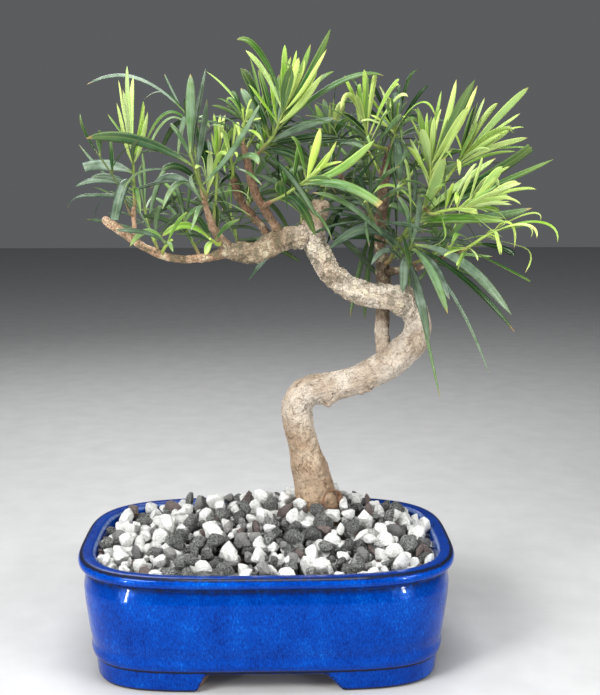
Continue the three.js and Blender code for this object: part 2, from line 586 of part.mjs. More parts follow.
// Height of the potting mix at a place: low at the rim, highest round the trunk.
function mixHeight(x, y) {
  const edge = POT_LEVELS[WALL_TOP];
  const out = ((Math.abs(x) / edge.a) ** edge.n + (Math.abs(y) / edge.b) ** edge.n) ** (1 / edge.n);
  const near = Math.exp(-(((x - MOUND.x) / 62) ** 2) - ((y - MOUND.y) / 46) ** 2);
  return MOUND.edge + (MOUND.top - MOUND.edge) * near * (1 - Math.min(out, 1) ** 4) + 2 * (1 - out);
}

// Chunk of stone: a box with its corners knocked about.
function makeStone(x, y, random) {
  const size = () => mix(STONE.size[0], STONE.size[1], random());
  const [rx, ry, rz] = [size(), size() * 0.8, size() * 0.76];
  const turn = new THREE.Euler(random() * 0.9, random() * 0.9, random() * 6.283);
  const centre = vec(x, y, mixHeight(x, y) + rz * (1 - STONE.sink));
  const corners = [];
  for (const i of [-1, 1]) {
    for (const j of [-1, 1]) {
      for (const k of [-1, 1]) {
        const knock = () => mix(0.55, 1, random());
        corners.push(vec(i * rx * knock(), j * ry * knock(), k * rz * knock()).applyEuler(turn).add(centre));
      }
    }
  }
  return wasm.Manifold.hull(corners.map((p) => [p.x, p.y, p.z]));
}

function makeGravel(trunkHole) {
  const inner = POT_LEVELS.slice(-3).reverse();
  const wall = inner.map((level, i) => oblong({
    ...level, a: level.a - MIX_GAP, b: level.b - MIX_GAP, z: i === 0 ? level.z + 0.3 : level.z,
  }));
  const edgeAt = (z) => oblong({ ...inner[2], a: inner[2].a - MIX_GAP, b: inner[2].b - MIX_GAP, z });
  const levels = [1, 0.8, 0.45].map((share) => edgeAt(0).map((p) => {
    const x = mix(MOUND.x, p.x, share);
    const y = mix(MOUND.y, p.y, share);
    return vec(x, y, mixHeight(x, y));
  }));
  const top = vec(MOUND.x, MOUND.y, mixHeight(MOUND.x, MOUND.y));
  const solids = [skin([...wall.slice(0, 2), ...levels], { end: top })];
  const random = dice(41);
  const rows = Math.ceil(63 / (STONE.pitch * 0.87));
  for (let row = -rows; row <= rows; row += 1) {
    for (let column = -9; column <= 9; column += 1) {
      const x = (column + (row % 2) * 0.5 + (random() - 0.5) * 0.5) * STONE.pitch;
      const y = (row + (random() - 0.5) * 0.5) * STONE.pitch * 0.87;
      const inside = (Math.abs(x) / 91) ** 3.6 + (Math.abs(y) / 59) ** 3.6;
      if (inside < 1) solids.push(makeStone(x, y, random));
    }
  }
  const clip = skin([...wall, edgeAt(110)]);
  const half = SCREEN.side / 2 + 0.4;
  const pockets = [-DRAIN.x, DRAIN.x].map((x) => box(x - half, x + half, -half, half, 10, 18.8));
  return tidy(join(solids).intersect(clip).subtract(join([trunkHole, ...pockets])), 0.3);
}

// One stretch of wood, or the room round it when its sides are moved out by a clearance.
function woodRod(name, clearance = 0) {
  const sides = SIDES[name] ?? 5;
  const seed = 100 + Object.keys(WOOD).indexOf(name);
  const [first, ...rest] = WOOD[name];
  const foot = vec(...first);
  foot.addScaledVector(foot.clone().sub(vec(...rest[0])).normalize(), clearance);
  const grow = clearance / Math.cos(Math.PI / sides);
  return rod([[foot.x, foot.y, foot.z, first[3]], ...rest], { sides, rough: 0.06, seed, grow });
}

function makeWood() {
  return tidy(join(Object.keys(WOOD).map((name) => woodRod(name))), 0.1);
}

// Width of a blade along its length, as a share of the full width.
function bladeShare(t, clipped) {
  const stops = clipped ? [[0, 0.3], [0.25, 0.85], [0.6, 1], [1, 0.86]]
    : [[0, 0.3], [0.22, 0.84], [0.5, 1], [0.8, 0.7], [1, 0]];
  for (let i = 1; i < stops.length; i += 1) {
    const [t0, w0] = stops[i - 1];
    const [t1, w1] = stops[i];
    if (t <= t1) return mix(w0, w1, (t - t0) / (t1 - t0));
  }
  return stops[stops.length - 1][1];
}

function leafPoint(leaf, t) {
  return leaf.base.clone().multiplyScalar((1 - t) ** 2)
    .addScaledVector(leaf.bend, 2 * t * (1 - t))
    .addScaledVector(leaf.tip, t * t);
}

function leafFrame(leaf, t) {
  const along = leaf.bend.clone().sub(leaf.base).multiplyScalar(1 - t)
    .addScaledVector(leaf.tip.clone().sub(leaf.bend), t).normalize();
  const across = along.clone().cross(leaf.face).normalize();
  return { along, across, face: across.clone().cross(along) };
}

// Flat ellipsoids along a leaf, which stand for it when leaves are kept apart.
function leafBeads(leaf) {
  const length = leaf.base.distanceTo(leaf.bend) * 0.5 + leaf.bend.distanceTo(leaf.tip) * 0.5
    + leaf.base.distanceTo(leaf.tip) * 0.5;
  leaf.length = length;
  const count = Math.max(6, Math.ceil(length / 4.5));
  return Array.from({ length: count }, (_, i) => {
    const t = (i + 0.5) / count;
    const { along, across, face } = leafFrame(leaf, t);
    return {
      at: leafPoint(leaf, t), t, owner: leaf.shoot, along, across, face,
      half: [(length / count) * 0.58, leaf.width * 0.5 * bladeShare(t, leaf.clipped) + 0.2, 0.7],
    };
  });
}

function reach(bead, x, y, z) {
  if (bead.radius) return bead.radius;
  const { along, across, face, half } = bead;
  const a = (along.x * x + along.y * y + along.z * z) * half[0];
  const b = (across.x * x + across.y * y + across.z * z) * half[1];
  const c = (face.x * x + face.y * y + face.z * z) * half[2];
  return Math.sqrt(a * a + b * b + c * c);
}

// Blades of one shoot may cross near its stem, and a blade may start against the wood.
function isFree(beads, placed, rootShare) {
  for (const bead of beads) {
    for (const other of placed) {
      const same = other.owner === bead.owner;
      if (same && (other.radius || bead.t < rootShare)) continue;
      if (other.radius && bead.t < (other.wood ? 0.25 : 0.12)) continue;
      const x = other.at.x - bead.at.x;
      const y = other.at.y - bead.at.y;
      const z = other.at.z - bead.at.z;
      const distance = Math.sqrt(x * x + y * y + z * z) || 1e-6;
      if (distance > 12) continue;
      const room = same ? 0.1 : 0.5;
      const u = [x / distance, y / distance, z / distance];
      if (distance < reach(bead, ...u) + reach(other, ...u) + room) return false;
    }
  }
  return true;
}

function stemAt(shoot, u) {
  const place = u * (shoot.stem.length - 1);
  const i = Math.min(Math.floor(place), shoot.stem.length - 2);
  return shoot.stem[i].clone().lerp(shoot.stem[i + 1], place - i);
}

function stemAxis(shoot, u) {
  return stemAt(shoot, Math.min(u + 0.2, 1)).sub(stemAt(shoot, Math.max(u - 0.2, 0))).normalize();
}

// Point inside the stem's side where a leaf is rooted, on the side of its tip.
function leafRoot(shoot, u, tip) {
  const base = stemAt(shoot, u);
  const axis = stemAxis(shoot, u);
  const out = tip.clone().sub(base);
  out.addScaledVector(axis, -out.dot(axis)).normalize();
  return base.addScaledVector(out, 0.2 * mix(...STEM_RADIUS, u));
}

// Blade normal of a leaf that leaves a stem: its upper face is towards the stem's tip.
function upperFace(axis, chord) {
  const out = chord.clone().addScaledVector(axis, -chord.dot(axis));
  if (out.length() < 0.05) out.copy(FRONT);
  out.normalize();
  const cos = chord.dot(axis);
  const sin = Math.sqrt(Math.max(0, 1 - cos * cos));
  return axis.clone().multiplyScalar(sin).addScaledVector(out, -cos).normalize();
}

// A leaf that the photo shows, nearer or farther by a step if its place is taken.
function shownLeaf(shoot, row, number, step) {
  const [place, x, y, z, width, rise, facing, tone, clipped] = row;
  const u = Math.max(0.02, place - 0.045 * (number % 6));
  const tip = vec(x, y + step, z + Math.abs(step) * 0.1);
  const base = leafRoot(shoot, u, tip);
  const chord = tip.clone().sub(base).normalize();
  const face = upperFace(stemAxis(shoot, u), chord);
  const front = FRONT.clone().multiplyScalar(face.dot(FRONT) < -0.15 ? -1 : 1);
  face.lerp(front, facing).normalize();
  const bend = base.clone().lerp(tip, 0.5).addScaledVector(UP, 2 * rise);
  return { shoot: shoot.name, base, bend, tip, face, width, tone, clipped: Boolean(clipped) };
}

// A leaf set by rule: a spiral round the stem, level at the foot and steep at the tip.
function ruledLeaf(shoot, number, count, draw, attempt) {
  const [, long, short, tone] = shoot.free;
  const u = 0.1 + (0.88 * (number + draw[0])) / count;
  const axis = stemAxis(shoot, u);
  const spin = shoot.turn + number * LEAF_TURN + (draw[1] - 0.5) * 0.6
    + (attempt % 2 ? 1 : -1) * Math.ceil(attempt / 2) * 0.42;
  const slope = THREE.MathUtils.degToRad(mix(...LEAF_SLOPE, u ** 1.2) + (draw[2] - 0.5) * 22);
  const length = mix(long, short, u ** 1.4) * mix(0.84, 1.12, draw[3]) * 0.96 ** attempt;
  const one = (Math.abs(axis.y) < 0.9 ? axis.clone().cross(vec(0, 1, 0)) : axis.clone().cross(vec(1, 0, 0)))
    .normalize();
  const two = axis.clone().cross(one);
  const out = one.multiplyScalar(Math.cos(spin)).addScaledVector(two, Math.sin(spin));
  const along = axis.clone().multiplyScalar(Math.cos(slope)).addScaledVector(out, Math.sin(slope));
  const base = leafRoot(shoot, u, stemAt(shoot, u).add(along));
  const droop = mix(...LEAF_DROOP, u) * mix(0.4, 1.5, draw[4]) * length;
  const tip = base.clone().addScaledVector(along, length).addScaledVector(UP, -droop);
  const bend = base.clone().addScaledVector(along, length * 0.5);
  const chord = tip.clone().sub(base).normalize();
  const face = upperFace(axis, chord).applyAxisAngle(chord, (draw[5] - 0.5) * 1.3);
  const width = length * mix(0.08, 0.108, draw[6]);
  return {
    shoot: shoot.name, base, bend, tip, face, width, clipped: false,
    tone: tone + (u - 0.5) * 0.5 + (draw[7] - 0.5) * 0.3,
  };
}

// The crown is clear below: leaves set by rule end above this height.
function lowestTip(x, rootShare) {
  if (rootShare > 0.2) return 0;
  return x < 30 ? 224 : mix(224, 196, Math.min((x - 30) / 40, 1));
}

// Steps tried, nearest first, until a leaf crosses nothing.
const SHOWN_STEPS = [0, 6, -6, 12, -12, 18, -18, 25];
const RULED_TRIES = 9;

// Point nearest to a shoot's foot on the centre lines that may carry it.
function seatOf(foot, lines) {
  let best = null;
  for (const line of lines) {
    for (let i = 0; i + 1 < line.length; i += 1) {
      const stretch = new THREE.Line3(vec(...line[i]), vec(...line[i + 1]));
      const near = stretch.closestPointToPoint(foot, true, vec(0, 0, 0));
      const gap = near.distanceTo(foot) - Math.min(line[i][3], line[i + 1][3]);
      if (!best || gap < best.gap) best = { near, gap };
    }
  }
  return best.near;
}

// Centre line of a stem, run on from its foot to the middle of what carries it.
function stemLine(shoot, carriers) {
  const count = shoot.stem.length;
  const line = shoot.stem.map((p, i) => [p.x, p.y, p.z, mix(...STEM_RADIUS, i / (count - 1))]);
  const seat = seatOf(shoot.stem[0], carriers);
  if (seat.distanceTo(shoot.stem[0]) > 1) line.unshift([seat.x, seat.y, seat.z, STEM_RADIUS[0]]);
  return line;
}

function growLeaves() {
  const shoots = SHOOTS.map((shoot, i) => ({
    ...shoot, stem: shoot.stem.map((p) => vec(...p)), turn: i * 1.9, grown: [], random: dice(700 + i),
  }));
  const carriers = Object.values(WOOD);
  for (const shoot of shoots) {
    shoot.line = stemLine(shoot, carriers);
    carriers.push(shoot.line);
  }
  const placed = [];
  const place = (line, owner, wood) => {
    for (let i = 0; i + 1 < line.length; i += 1) {
      const steps = wood ? 4 : 6;
      for (let k = 0; k < steps; k += 1) {
        const [x, y, z, radius] = line[i].map((value, axis) => mix(value, line[i + 1][axis], k / steps));
        placed.push({ at: vec(x, y, z), owner, wood, radius: wood ? radius * 1.08 + 0.2 : radius + 0.1 });
      }
    }
  };
  for (const [name, line] of Object.entries(WOOD)) place(line, name, true);
  for (const shoot of shoots) place(shoot.line, shoot.name, false);
  const settle = (shoot, tries, rootShare) => {
    for (const leaf of tries) {
      const beads = leafBeads(leaf);
      if (leaf.tip.z > lowestTip(leaf.tip.x, rootShare) && isFree(beads, placed, rootShare)) {
        placed.push(...beads);
        shoot.grown.push(leaf);
        return;
      }
    }
  };
  for (const shoot of shoots) {
    shoot.leaves.forEach((row, number) => {
      settle(shoot, SHOWN_STEPS.map((step) => shownLeaf(shoot, row, number, step)), 0.4);
    });
  }
  for (const shoot of shoots) {
    const count = shoot.free[0];
    for (let number = 0; number < count; number += 1) {
      const draw = Array.from({ length: 8 }, () => shoot.random());
      const tries = Array.from({ length: RULED_TRIES }, (_, k) => ruledLeaf(shoot, number, count, draw, k));
      settle(shoot, tries, 0.13);
    }
  }
  return shoots;
}

// Blade with a flat upper face and a keel below, one ring of three corners per station.
function makeLeaf(leaf) {
  let stations = leaf.length > 60 ? [0, 0.2, 0.48, 0.78] : [0, 0.3, 0.7];
  if (leaf.clipped) stations = [0, 0.25, 0.6, 1];
  const rings = stations.map((t) => {
    const centre = leafPoint(leaf, t);
    const { across, face } = leafFrame(leaf, t);
    const half = t === 0 ? 0.42 : Math.max(0.7, leaf.width * 0.5 * bladeShare(t, leaf.clipped));
    const thick = t === 0 ? 0.7 : LEAF_THICK;
    return [
      centre.clone().addScaledVector(across, half).addScaledVector(face, 0.3),
      centre.clone().addScaledVector(across, -half).addScaledVector(face, 0.3),
      centre.clone().addScaledVector(face, 0.3 - thick),
    ];
  });
  return skin(rings, { end: leaf.clipped ? null : leaf.tip });
}

const touching = (a, b) => {
  const p = a.boundingBox();
  const q = b.boundingBox();
  return [0, 1, 2].every((i) => p.min[i] < q.max[i] && q.min[i] < p.max[i]);
};

// Stem and leaves of each shoot in one body, cut clear of the wood and of other shoots.
function makeFoliage(woodRoom) {
  const made = [];
  for (const shoot of growLeaves()) {
    const kept = [rod(shoot.line, { sides: 4 })];
    for (const leaf of shoot.grown) {
      const blade = makeLeaf(leaf);
      const crosses = made.some(({ solid }) => (
        touching(solid, blade) && solid.intersect(blade).volume() > 1e-4));
      if (!crosses) kept.push(blade);
    }
    let solid = join(kept);
    for (const wood of woodRoom) {
      if (touching(wood, solid)) solid = solid.subtract(wood);
    }
    for (const other of made) {
      if (touching(other.stemRoom, solid)) solid = solid.subtract(other.stemRoom);
    }
    solid = tidy(solid, 0.25);
    const stemRoom = rod(shoot.line, { sides: 4, grow: SEAT_GAP / Math.cos(Math.PI / 4) });
    const tone = shoot.grown.reduce((sum, leaf) => sum + leaf.tone, 0) / shoot.grown.length;
    made.push({ name: `shoot_${shoot.name}`, solid, stemRoom, tone });
  }
  return made;
}

function toMesh(name, solid, look) {
  const { vertProperties, triVerts } = solid.getMesh();
  const geometry = new THREE.BufferGeometry();
  geometry.setAttribute('position', new THREE.BufferAttribute(new Float32Array(vertProperties), 3));
  geometry.setIndex(new THREE.BufferAttribute(new Uint32Array(triVerts), 1));
  const merged = mergeVertices(geometry, 1e-5);
  merged.computeVertexNormals();
  const mesh = new THREE.Mesh(merged, new THREE.MeshStandardMaterial({ ...look, name }));
  mesh.name = name;
  return mesh;
}

const root = new THREE.Group();
root.name = 'bonsai';
root.add(toMesh('pot', makePot(), COLOURS.glaze));
root.add(toMesh('drain_screen_left', makeScreen(-DRAIN.x), COLOURS.screen));
root.add(toMesh('drain_screen_right', makeScreen(DRAIN.x), COLOURS.screen));
root.add(toMesh('gravel', makeGravel(woodRod('trunk', SEAT_GAP)), COLOURS.gravel));
root.add(toMesh('trunk', makeWood(), COLOURS.bark));
const woodRoom = Object.keys(WOOD).map((name) => woodRod(name, SEAT_GAP));
const lightest = LEAF_COLOURS.length - 1;
for (const { name, solid, tone } of makeFoliage(woodRoom)) {
  const shade = Math.max(0, Math.min(lightest, Math.round(tone * LEAF_COLOURS.length - 0.2)));
  root.add(toMesh(name, solid, { color: LEAF_COLOURS[shade], roughness: 0.55, metalness: 0 }));
}

// The origin goes to the bottom centre of the whole.
const extent = new THREE.Box3().setFromObject(root);
const centre = extent.getCenter(vec(0, 0, 0));
for (const mesh of root.children) mesh.geometry.translate(-centre.x, -centre.y, -extent.min.z);

export default root;
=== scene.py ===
# %% [markdown]
# # A buddhist pine bonsai in a blue glazed pot
#
# The real thing is a small tree with a winding trunk and sprays of strap leaves, grown in an
# oblong pot with a deep blue glaze and topped with white pumice and dark lava gravel.
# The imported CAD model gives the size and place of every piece. This script keeps that frame
# and dresses it: a finer pot, loose stones, bark, and leaves with veins and their own tones.

import json
import math
from collections import namedtuple

import bmesh
import bpy
import numpy as np
from mathutils import Matrix, Vector

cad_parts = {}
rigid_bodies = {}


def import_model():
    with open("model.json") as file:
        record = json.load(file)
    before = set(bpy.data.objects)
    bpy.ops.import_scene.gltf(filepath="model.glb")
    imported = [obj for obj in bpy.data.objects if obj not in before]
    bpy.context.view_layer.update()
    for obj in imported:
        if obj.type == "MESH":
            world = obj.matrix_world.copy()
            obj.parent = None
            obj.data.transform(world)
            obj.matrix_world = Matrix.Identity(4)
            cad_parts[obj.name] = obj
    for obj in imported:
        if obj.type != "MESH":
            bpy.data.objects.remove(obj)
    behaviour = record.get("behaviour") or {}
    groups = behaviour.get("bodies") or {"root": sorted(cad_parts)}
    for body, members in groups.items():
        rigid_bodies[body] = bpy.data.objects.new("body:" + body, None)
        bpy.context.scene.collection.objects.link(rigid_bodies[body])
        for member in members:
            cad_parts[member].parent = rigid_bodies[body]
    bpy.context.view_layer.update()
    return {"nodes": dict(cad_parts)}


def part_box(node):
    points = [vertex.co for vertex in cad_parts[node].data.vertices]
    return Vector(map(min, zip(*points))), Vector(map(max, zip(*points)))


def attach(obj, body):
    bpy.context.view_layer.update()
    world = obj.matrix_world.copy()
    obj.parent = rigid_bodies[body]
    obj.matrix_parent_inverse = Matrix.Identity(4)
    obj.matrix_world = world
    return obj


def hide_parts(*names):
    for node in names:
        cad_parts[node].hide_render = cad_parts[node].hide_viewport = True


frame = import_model()

# %% [markdown]
# ## One place to measure from
#
# Every size below is in millimetres from the middle of the pot, with the foot of the pot at
# height 0, because that is how a grower would measure the tree. The frame's own origin is
# under the middle of the whole plant, so the pot's box gives the step between the two.

# %% From pot millimetres to scene metres
pot_low, pot_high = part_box("pot")
POT_CENTRE = np.array([(pot_low.x + pot_high.x) / 2, (pot_low.y + pot_high.y) / 2, 0.0])


def placed(points):
    """Points in pot millimetres, as scene coordinates in metres."""
    return np.asarray(points, float) / 1000 + POT_CENTRE


def new_piece(name, points, faces=(), edges=(), smooth=True):
    """A mesh object from points in pot millimetres."""
    mesh = bpy.data.meshes.new(name)
    mesh.from_pydata(placed(points).tolist(), edges, faces)
    if smooth:
        mesh.shade_smooth()
    piece = bpy.data.objects.new(name, mesh)
    bpy.context.scene.collection.objects.link(piece)
    return piece


def paint(piece, name, values, kind="FLOAT"):
    """Stores one value, or one vector, for each point of a piece."""
    attribute = piece.data.attributes.new(name, kind, "POINT")
    values = np.asarray(values, np.float32)
    attribute.data.foreach_set("vector" if kind == "FLOAT_VECTOR" else "value", values.ravel())


print("pot centre in the frame, mm:", np.round(POT_CENTRE * 1000, 2))

# %% [markdown]
# ## Chance that comes out the same every time
#
# Stones and leaves are set out by rule with a little chance in it. The CAD model used a small
# generator of whole numbers, and the same one is repeated here, so that the leaves grow in
# the same places as the solids they stand for.

# %% A seeded dice
WORD = 0xFFFFFFFF


def dice(seed):
    """Returns a function that gives numbers from 0 to 1, always the same row for a seed."""
    state = seed & WORD

    def throw():
        nonlocal state
        state = (state + 0x6D2B79F5) & WORD
        t = state
        t = ((t ^ (t >> 15)) * (t | 1)) & WORD
        t ^= (t + (((t ^ (t >> 7)) * (t | 61)) & WORD)) & WORD
        return ((t ^ (t >> 14)) & WORD) / 4294967296

    return throw


def mix(a, b, t):
    return a + (b - a) * t


def fade(values, start, end):
    """0 at the start, 1 at the end, and even between them."""
    return np.clip((values - start) / (end - start), 0, 1)


def unit(v):
    return v / np.linalg.norm(v)


sample = dice(1)
print("first throws:", [round(sample(), 4) for _ in range(3)])

# %% [markdown]
# ## Small tools for node trees
#
# Geometry trees and materials are both graphs of nodes, and both are written the same way:
# add a node, give its sockets a value or a link. A helper that is given a socket finds its
# tree by itself, so a formula reads as one line. A geometry tree is run on a piece by a
# modifier, whose inputs are found by their identifiers. The result is then read back as a
# plain mesh, and the modifier goes, so that nothing is left to be worked out later.

# %% Helpers for nodes
def add(tree, kind, values=None, **settings):
    """Adds a node. values sets or links its inputs by name or number."""
    made = tree.nodes.new(kind)
    for key, value in settings.items():
        setattr(made, key, value)
    for key, value in (values or {}).items():
        if isinstance(value, bpy.types.NodeSocket):
            tree.links.new(value, made.inputs[key])
        else:
            made.inputs[key].default_value = value
    return made


def tree_of(*values):
    """The node tree of the first socket among some values."""
    return next(value.id_data for value in values if isinstance(value, bpy.types.NodeSocket))


def geometry_tree(name, **inputs):
    """A geometry tree with a geometry going in and out, and named inputs for its sizes."""
    tree = bpy.data.node_groups.new(name, "GeometryNodeTree")
    for way in ("INPUT", "OUTPUT"):
        tree.interface.new_socket("Geometry", in_out=way, socket_type="NodeSocketGeometry")
    for label, (kind, value) in inputs.items():
        socket = tree.interface.new_socket(
            label, in_out="INPUT", socket_type="NodeSocket" + kind)
        if value is not None:
            socket.default_value = value
    source = tree.nodes.new("NodeGroupInput")
    result = tree.nodes.new("NodeGroupOutput")
    return tree, source.outputs, result.inputs["Geometry"]


def end_tree(geometry, finish, result):
    """Ends a geometry tree: what was instanced becomes real and gets its material."""
    tree = tree_of(geometry)
    real = add(tree, "GeometryNodeRealizeInstances", {"Geometry": geometry})
    done = add(tree, "GeometryNodeSetMaterial", {
        "Geometry": real.outputs[0], "Material": finish})
    tree.links.new(done.outputs[0], result)


def keep_modifiers(piece):
    """Turns a piece with live modifiers into the plain mesh that they make."""
    seen = piece.evaluated_get(bpy.context.evaluated_depsgraph_get())
    mesh = bpy.data.meshes.new_from_object(seen)
    piece.modifiers.clear()
    piece.data = mesh


def run_tree(piece, tree, **values):
    """Runs a tree on a piece and keeps the result as its plain mesh."""
    modifier = piece.modifiers.new(tree.name, "NODES")
    modifier.node_group = tree
    for item in tree.interface.items_tree:
        if item.in_out == "INPUT" and item.name in values:
            modifier[item.identifier] = values[item.name]
    keep_modifiers(piece)
    piece.data.name = piece.name


def triangles(piece):
    return sum(len(face.vertices) - 2 for face in piece.data.polygons)


def attribute(tree, name, kind="FLOAT"):
    """The stored value of a geometry, as an output socket of a geometry tree."""
    return add(tree, "GeometryNodeInputNamedAttribute", {"Name": name}, data_type=kind).outputs[0]


def maths(operation, *values):
    return add(tree_of(*values), "ShaderNodeMath", dict(enumerate(values)),
               operation=operation).outputs[0]


def times(*values):
    return maths("MULTIPLY", *values)


def plus(*values):
    return maths("ADD", *values)


print("helpers for trees ready")

# %% Helpers for materials
def new_material(name, **values):
    """A material with one Principled BSDF, and its node tree."""
    material = bpy.data.materials.new(name)
    material.use_nodes = True
    tree = material.node_tree
    shader = tree.nodes["Principled BSDF"]
    for key, value in values.items():
        shader.inputs[key.replace("_", " ")].default_value = value
    return material, tree, shader


def feed(shader, name, value):
    """Links a socket to one of the shader's inputs."""
    shader.id_data.links.new(value, shader.inputs[name])


def own_place(tree):
    """The place on a piece, in metres from its own origin."""
    return add(tree, "ShaderNodeTexCoord").outputs["Object"]


def read(tree, name, output="Fac"):
    """A stored value of the mesh, as an output socket of a material."""
    return add(tree, "ShaderNodeAttribute", attribute_name=name).outputs[output]


def ramp(factor, stops, interpolation="LINEAR"):
    """A colour ramp over (place, colour) stops; a grey stop may be one number."""
    made = add(tree_of(factor), "ShaderNodeValToRGB", {"Fac": factor})
    made.color_ramp.interpolation = interpolation
    band = made.color_ramp.elements
    while len(band) < len(stops):
        band.new(0.5)
    for element, (place, colour) in zip(band, stops):
        element.position = place
        grey = isinstance(colour, (int, float))
        element.color = (*((colour,) * 3 if grey else colour), 1)
    return made.outputs["Color"]


def blend(factor, first, second, how="MIX"):
    """Mixes two colours, each a socket or three numbers."""
    first, second = (value if isinstance(value, bpy.types.NodeSocket) else (*value, 1)
                     for value in (first, second))
    return add(tree_of(factor, first, second), "ShaderNodeMix",
               {0: factor, 6: first, 7: second}, data_type="RGBA", blend_type=how).outputs[2]


def tinted(colour, tint, share=1.0):
    """A colour multiplied by a tint, at a share of its full strength."""
    return blend(share, colour, tint, "MULTIPLY")


def noise(place, scale, detail=4, roughness=0.55):
    return add(tree_of(place), "ShaderNodeTexNoise", {
        "Vector": place, "Scale": scale, "Detail": detail, "Roughness": roughness}).outputs["Fac"]


def stretched(place, scale):
    """A place with each axis scaled by its own factor."""
    return add(tree_of(place), "ShaderNodeMapping", {
        "Vector": place, "Scale": scale}).outputs["Vector"]


def bump(shader, height, strength, distance):
    """Small relief from a height socket, up to a distance in metres."""
    made = add(shader.id_data, "ShaderNodeBump", {
        "Height": height, "Strength": strength, "Distance": distance})
    feed(shader, "Normal", made.outputs["Normal"])


print("helpers for materials ready")

# %% [markdown]
# ## Camera, light and floor
#
# The photo was taken from a little above the rim of the pot, close to its middle. The
# camera's place comes from the pot's two rim lines and its feet, and its lens from the
# frame's height of 695 pixels. Large soft lamps give an even light, and a narrow strip at
# each end of the pot gives the glaze its highlights.

# %% Camera
EYE = (2.3, -616.0, 278.8)
LOOK_DOWN = math.radians(9.53)
LOOK_RIGHT = math.radians(1.55)
FOCAL_PIXELS = 1114
FRAME_HEIGHT = 695

lens = bpy.data.cameras.new("camera")
lens.sensor_width = 36
lens.lens = FOCAL_PIXELS / FRAME_HEIGHT * lens.sensor_width
camera = bpy.data.objects.new("camera", lens)
camera.location = placed(EYE)
camera.rotation_euler = (math.pi / 2 - LOOK_DOWN, 0, -LOOK_RIGHT)
bpy.context.scene.collection.objects.link(camera)
bpy.context.scene.camera = camera
print("lens", round(lens.lens, 2), "mm")

# %% Lamps and sky
LAMPS = {
    "lamp_left": {"at": (-560, -560, 680), "size": (320, 320), "watts": 10.8},
    "lamp_right": {"at": (680, -560, 480), "size": (260, 260), "watts": 5},
    "lamp_top": {"at": (20, -120, 960), "size": (460, 460), "watts": 10},
    "strip_left": {"at": (-625, -610, 130), "size": (34, 160), "watts": 3.6},
    "strip_right": {"at": (600, -630, 150), "size": (38, 100), "watts": 2.4},
    "lamp_back": {"at": (-260, 700, 700), "size": (360, 360), "watts": 2.5},
}
AIM = placed((10, 0, 170))
SKY_COLOUR = (0.80, 0.83, 0.87, 1)
SKY_STRENGTH = 0.13

for name, lamp in LAMPS.items():
    light = bpy.data.lights.new(name, "AREA")
    light.shape = "RECTANGLE"
    light.size, light.size_y = lamp["size"][0] / 1000, lamp["size"][1] / 1000
    light.energy = lamp["watts"]
    holder = bpy.data.objects.new(name, light)
    holder.location = placed(lamp["at"])
    holder.rotation_euler = (Vector(AIM) - holder.location).to_track_quat("-Z", "Y").to_euler()
    bpy.context.scene.collection.objects.link(holder)

world = bpy.data.worlds.new("studio")
world.use_nodes = True
sky = world.node_tree.nodes["Background"].inputs
sky["Color"].default_value = SKY_COLOUR
sky["Strength"].default_value = SKY_STRENGTH
bpy.context.scene.world = world
bpy.context.scene.view_settings.view_transform = "Standard"
print(len(LAMPS), "lamps")

# %% Floor
FLOOR_HALF = 3000

floor_corners = [(x * FLOOR_HALF, y * FLOOR_HALF, 0)
                 for x, y in ((-1, -1), (1, -1), (1, 1), (-1, 1))]
floor = new_piece("floor", floor_corners, [(0, 1, 2, 3)], smooth=False)
floor_finish, floor_tree, floor_shader = new_material("pale_floor", Roughness=0.85)
floor_patches = noise(own_place(floor_tree), 40)
feed(floor_shader, "Base Color", ramp(floor_patches, [(0.3, 0.40), (0.7, 0.44)]))
floor.data.materials.append(floor_finish)
print("floor under the feet at 0")

# %% [markdown]
# ## The pot
#
# The pot is slip-cast stoneware: an oblong with very round corners, a wall that leans out a
# little, a band under a thick lip, and a foot ring cut away in the middle of each side, which
# leaves four feet. Every level of it is the same rounded oblong at another size, so the whole
# skin is one grid: rows up the profile, columns round the outline. The cuts in the foot ring
# lift the lowest rows along a soft S, and no cutting tool is needed for them.

# %% Levels of the pot, from under the floor, over the lip, to the inner floor
PotLevel = namedtuple("PotLevel", "z a b n")
POT_LEVELS = [PotLevel(*level) for level in (
    (11.5, 82, 50, 4.6), (0, 82.6, 50.6, 4.6), (0, 93.6, 61.4, 4.6), (1.6, 94.8, 62.6, 4.6),
    (11.2, 95.7, 63.7, 4.5), (12.2, 95.5, 63.6, 4.5), (13.4, 97.3, 65.3, 4.4),
    (16.4, 98.2, 66.2, 4.3), (20, 97.6, 65.6, 4.3), (26, 98.8, 67, 4.2),
    (43, 101.2, 69.2, 3.95), (50.5, 101.7, 69.7, 3.85), (56, 100.7, 68.7, 3.8),
    (59.4, 100, 68, 3.7), (60.6, 102.2, 70.2, 3.65), (61.8, 104.2, 72.2, 3.6),
    (63.4, 105, 73, 3.5), (65.2, 104.6, 72.6, 3.5), (66.5, 103.4, 71.4, 3.5),
    (67, 101.8, 69.8, 3.5), (66.6, 97, 65, 3.6), (64.4, 95.4, 63.4, 3.6),
    (22, 90.5, 58.5, 4), (17, 86, 54, 4),
)]
FOOT_OUTSIDE = 4  # number of the level at the top of the feet
LIP_INSIDE = 20
POT_COLUMNS = 360
ROW_STEP = 0.8
FRONT_CUT = {"ground": (-38.5, 42), "top": (-31.5, 29)}
SIDE_CUT = {"ground": (-27, 27), "top": (-19, 19)}
CUT_HEIGHT = 11
DRAIN_RADIUS = 8
DRAIN_X = 45


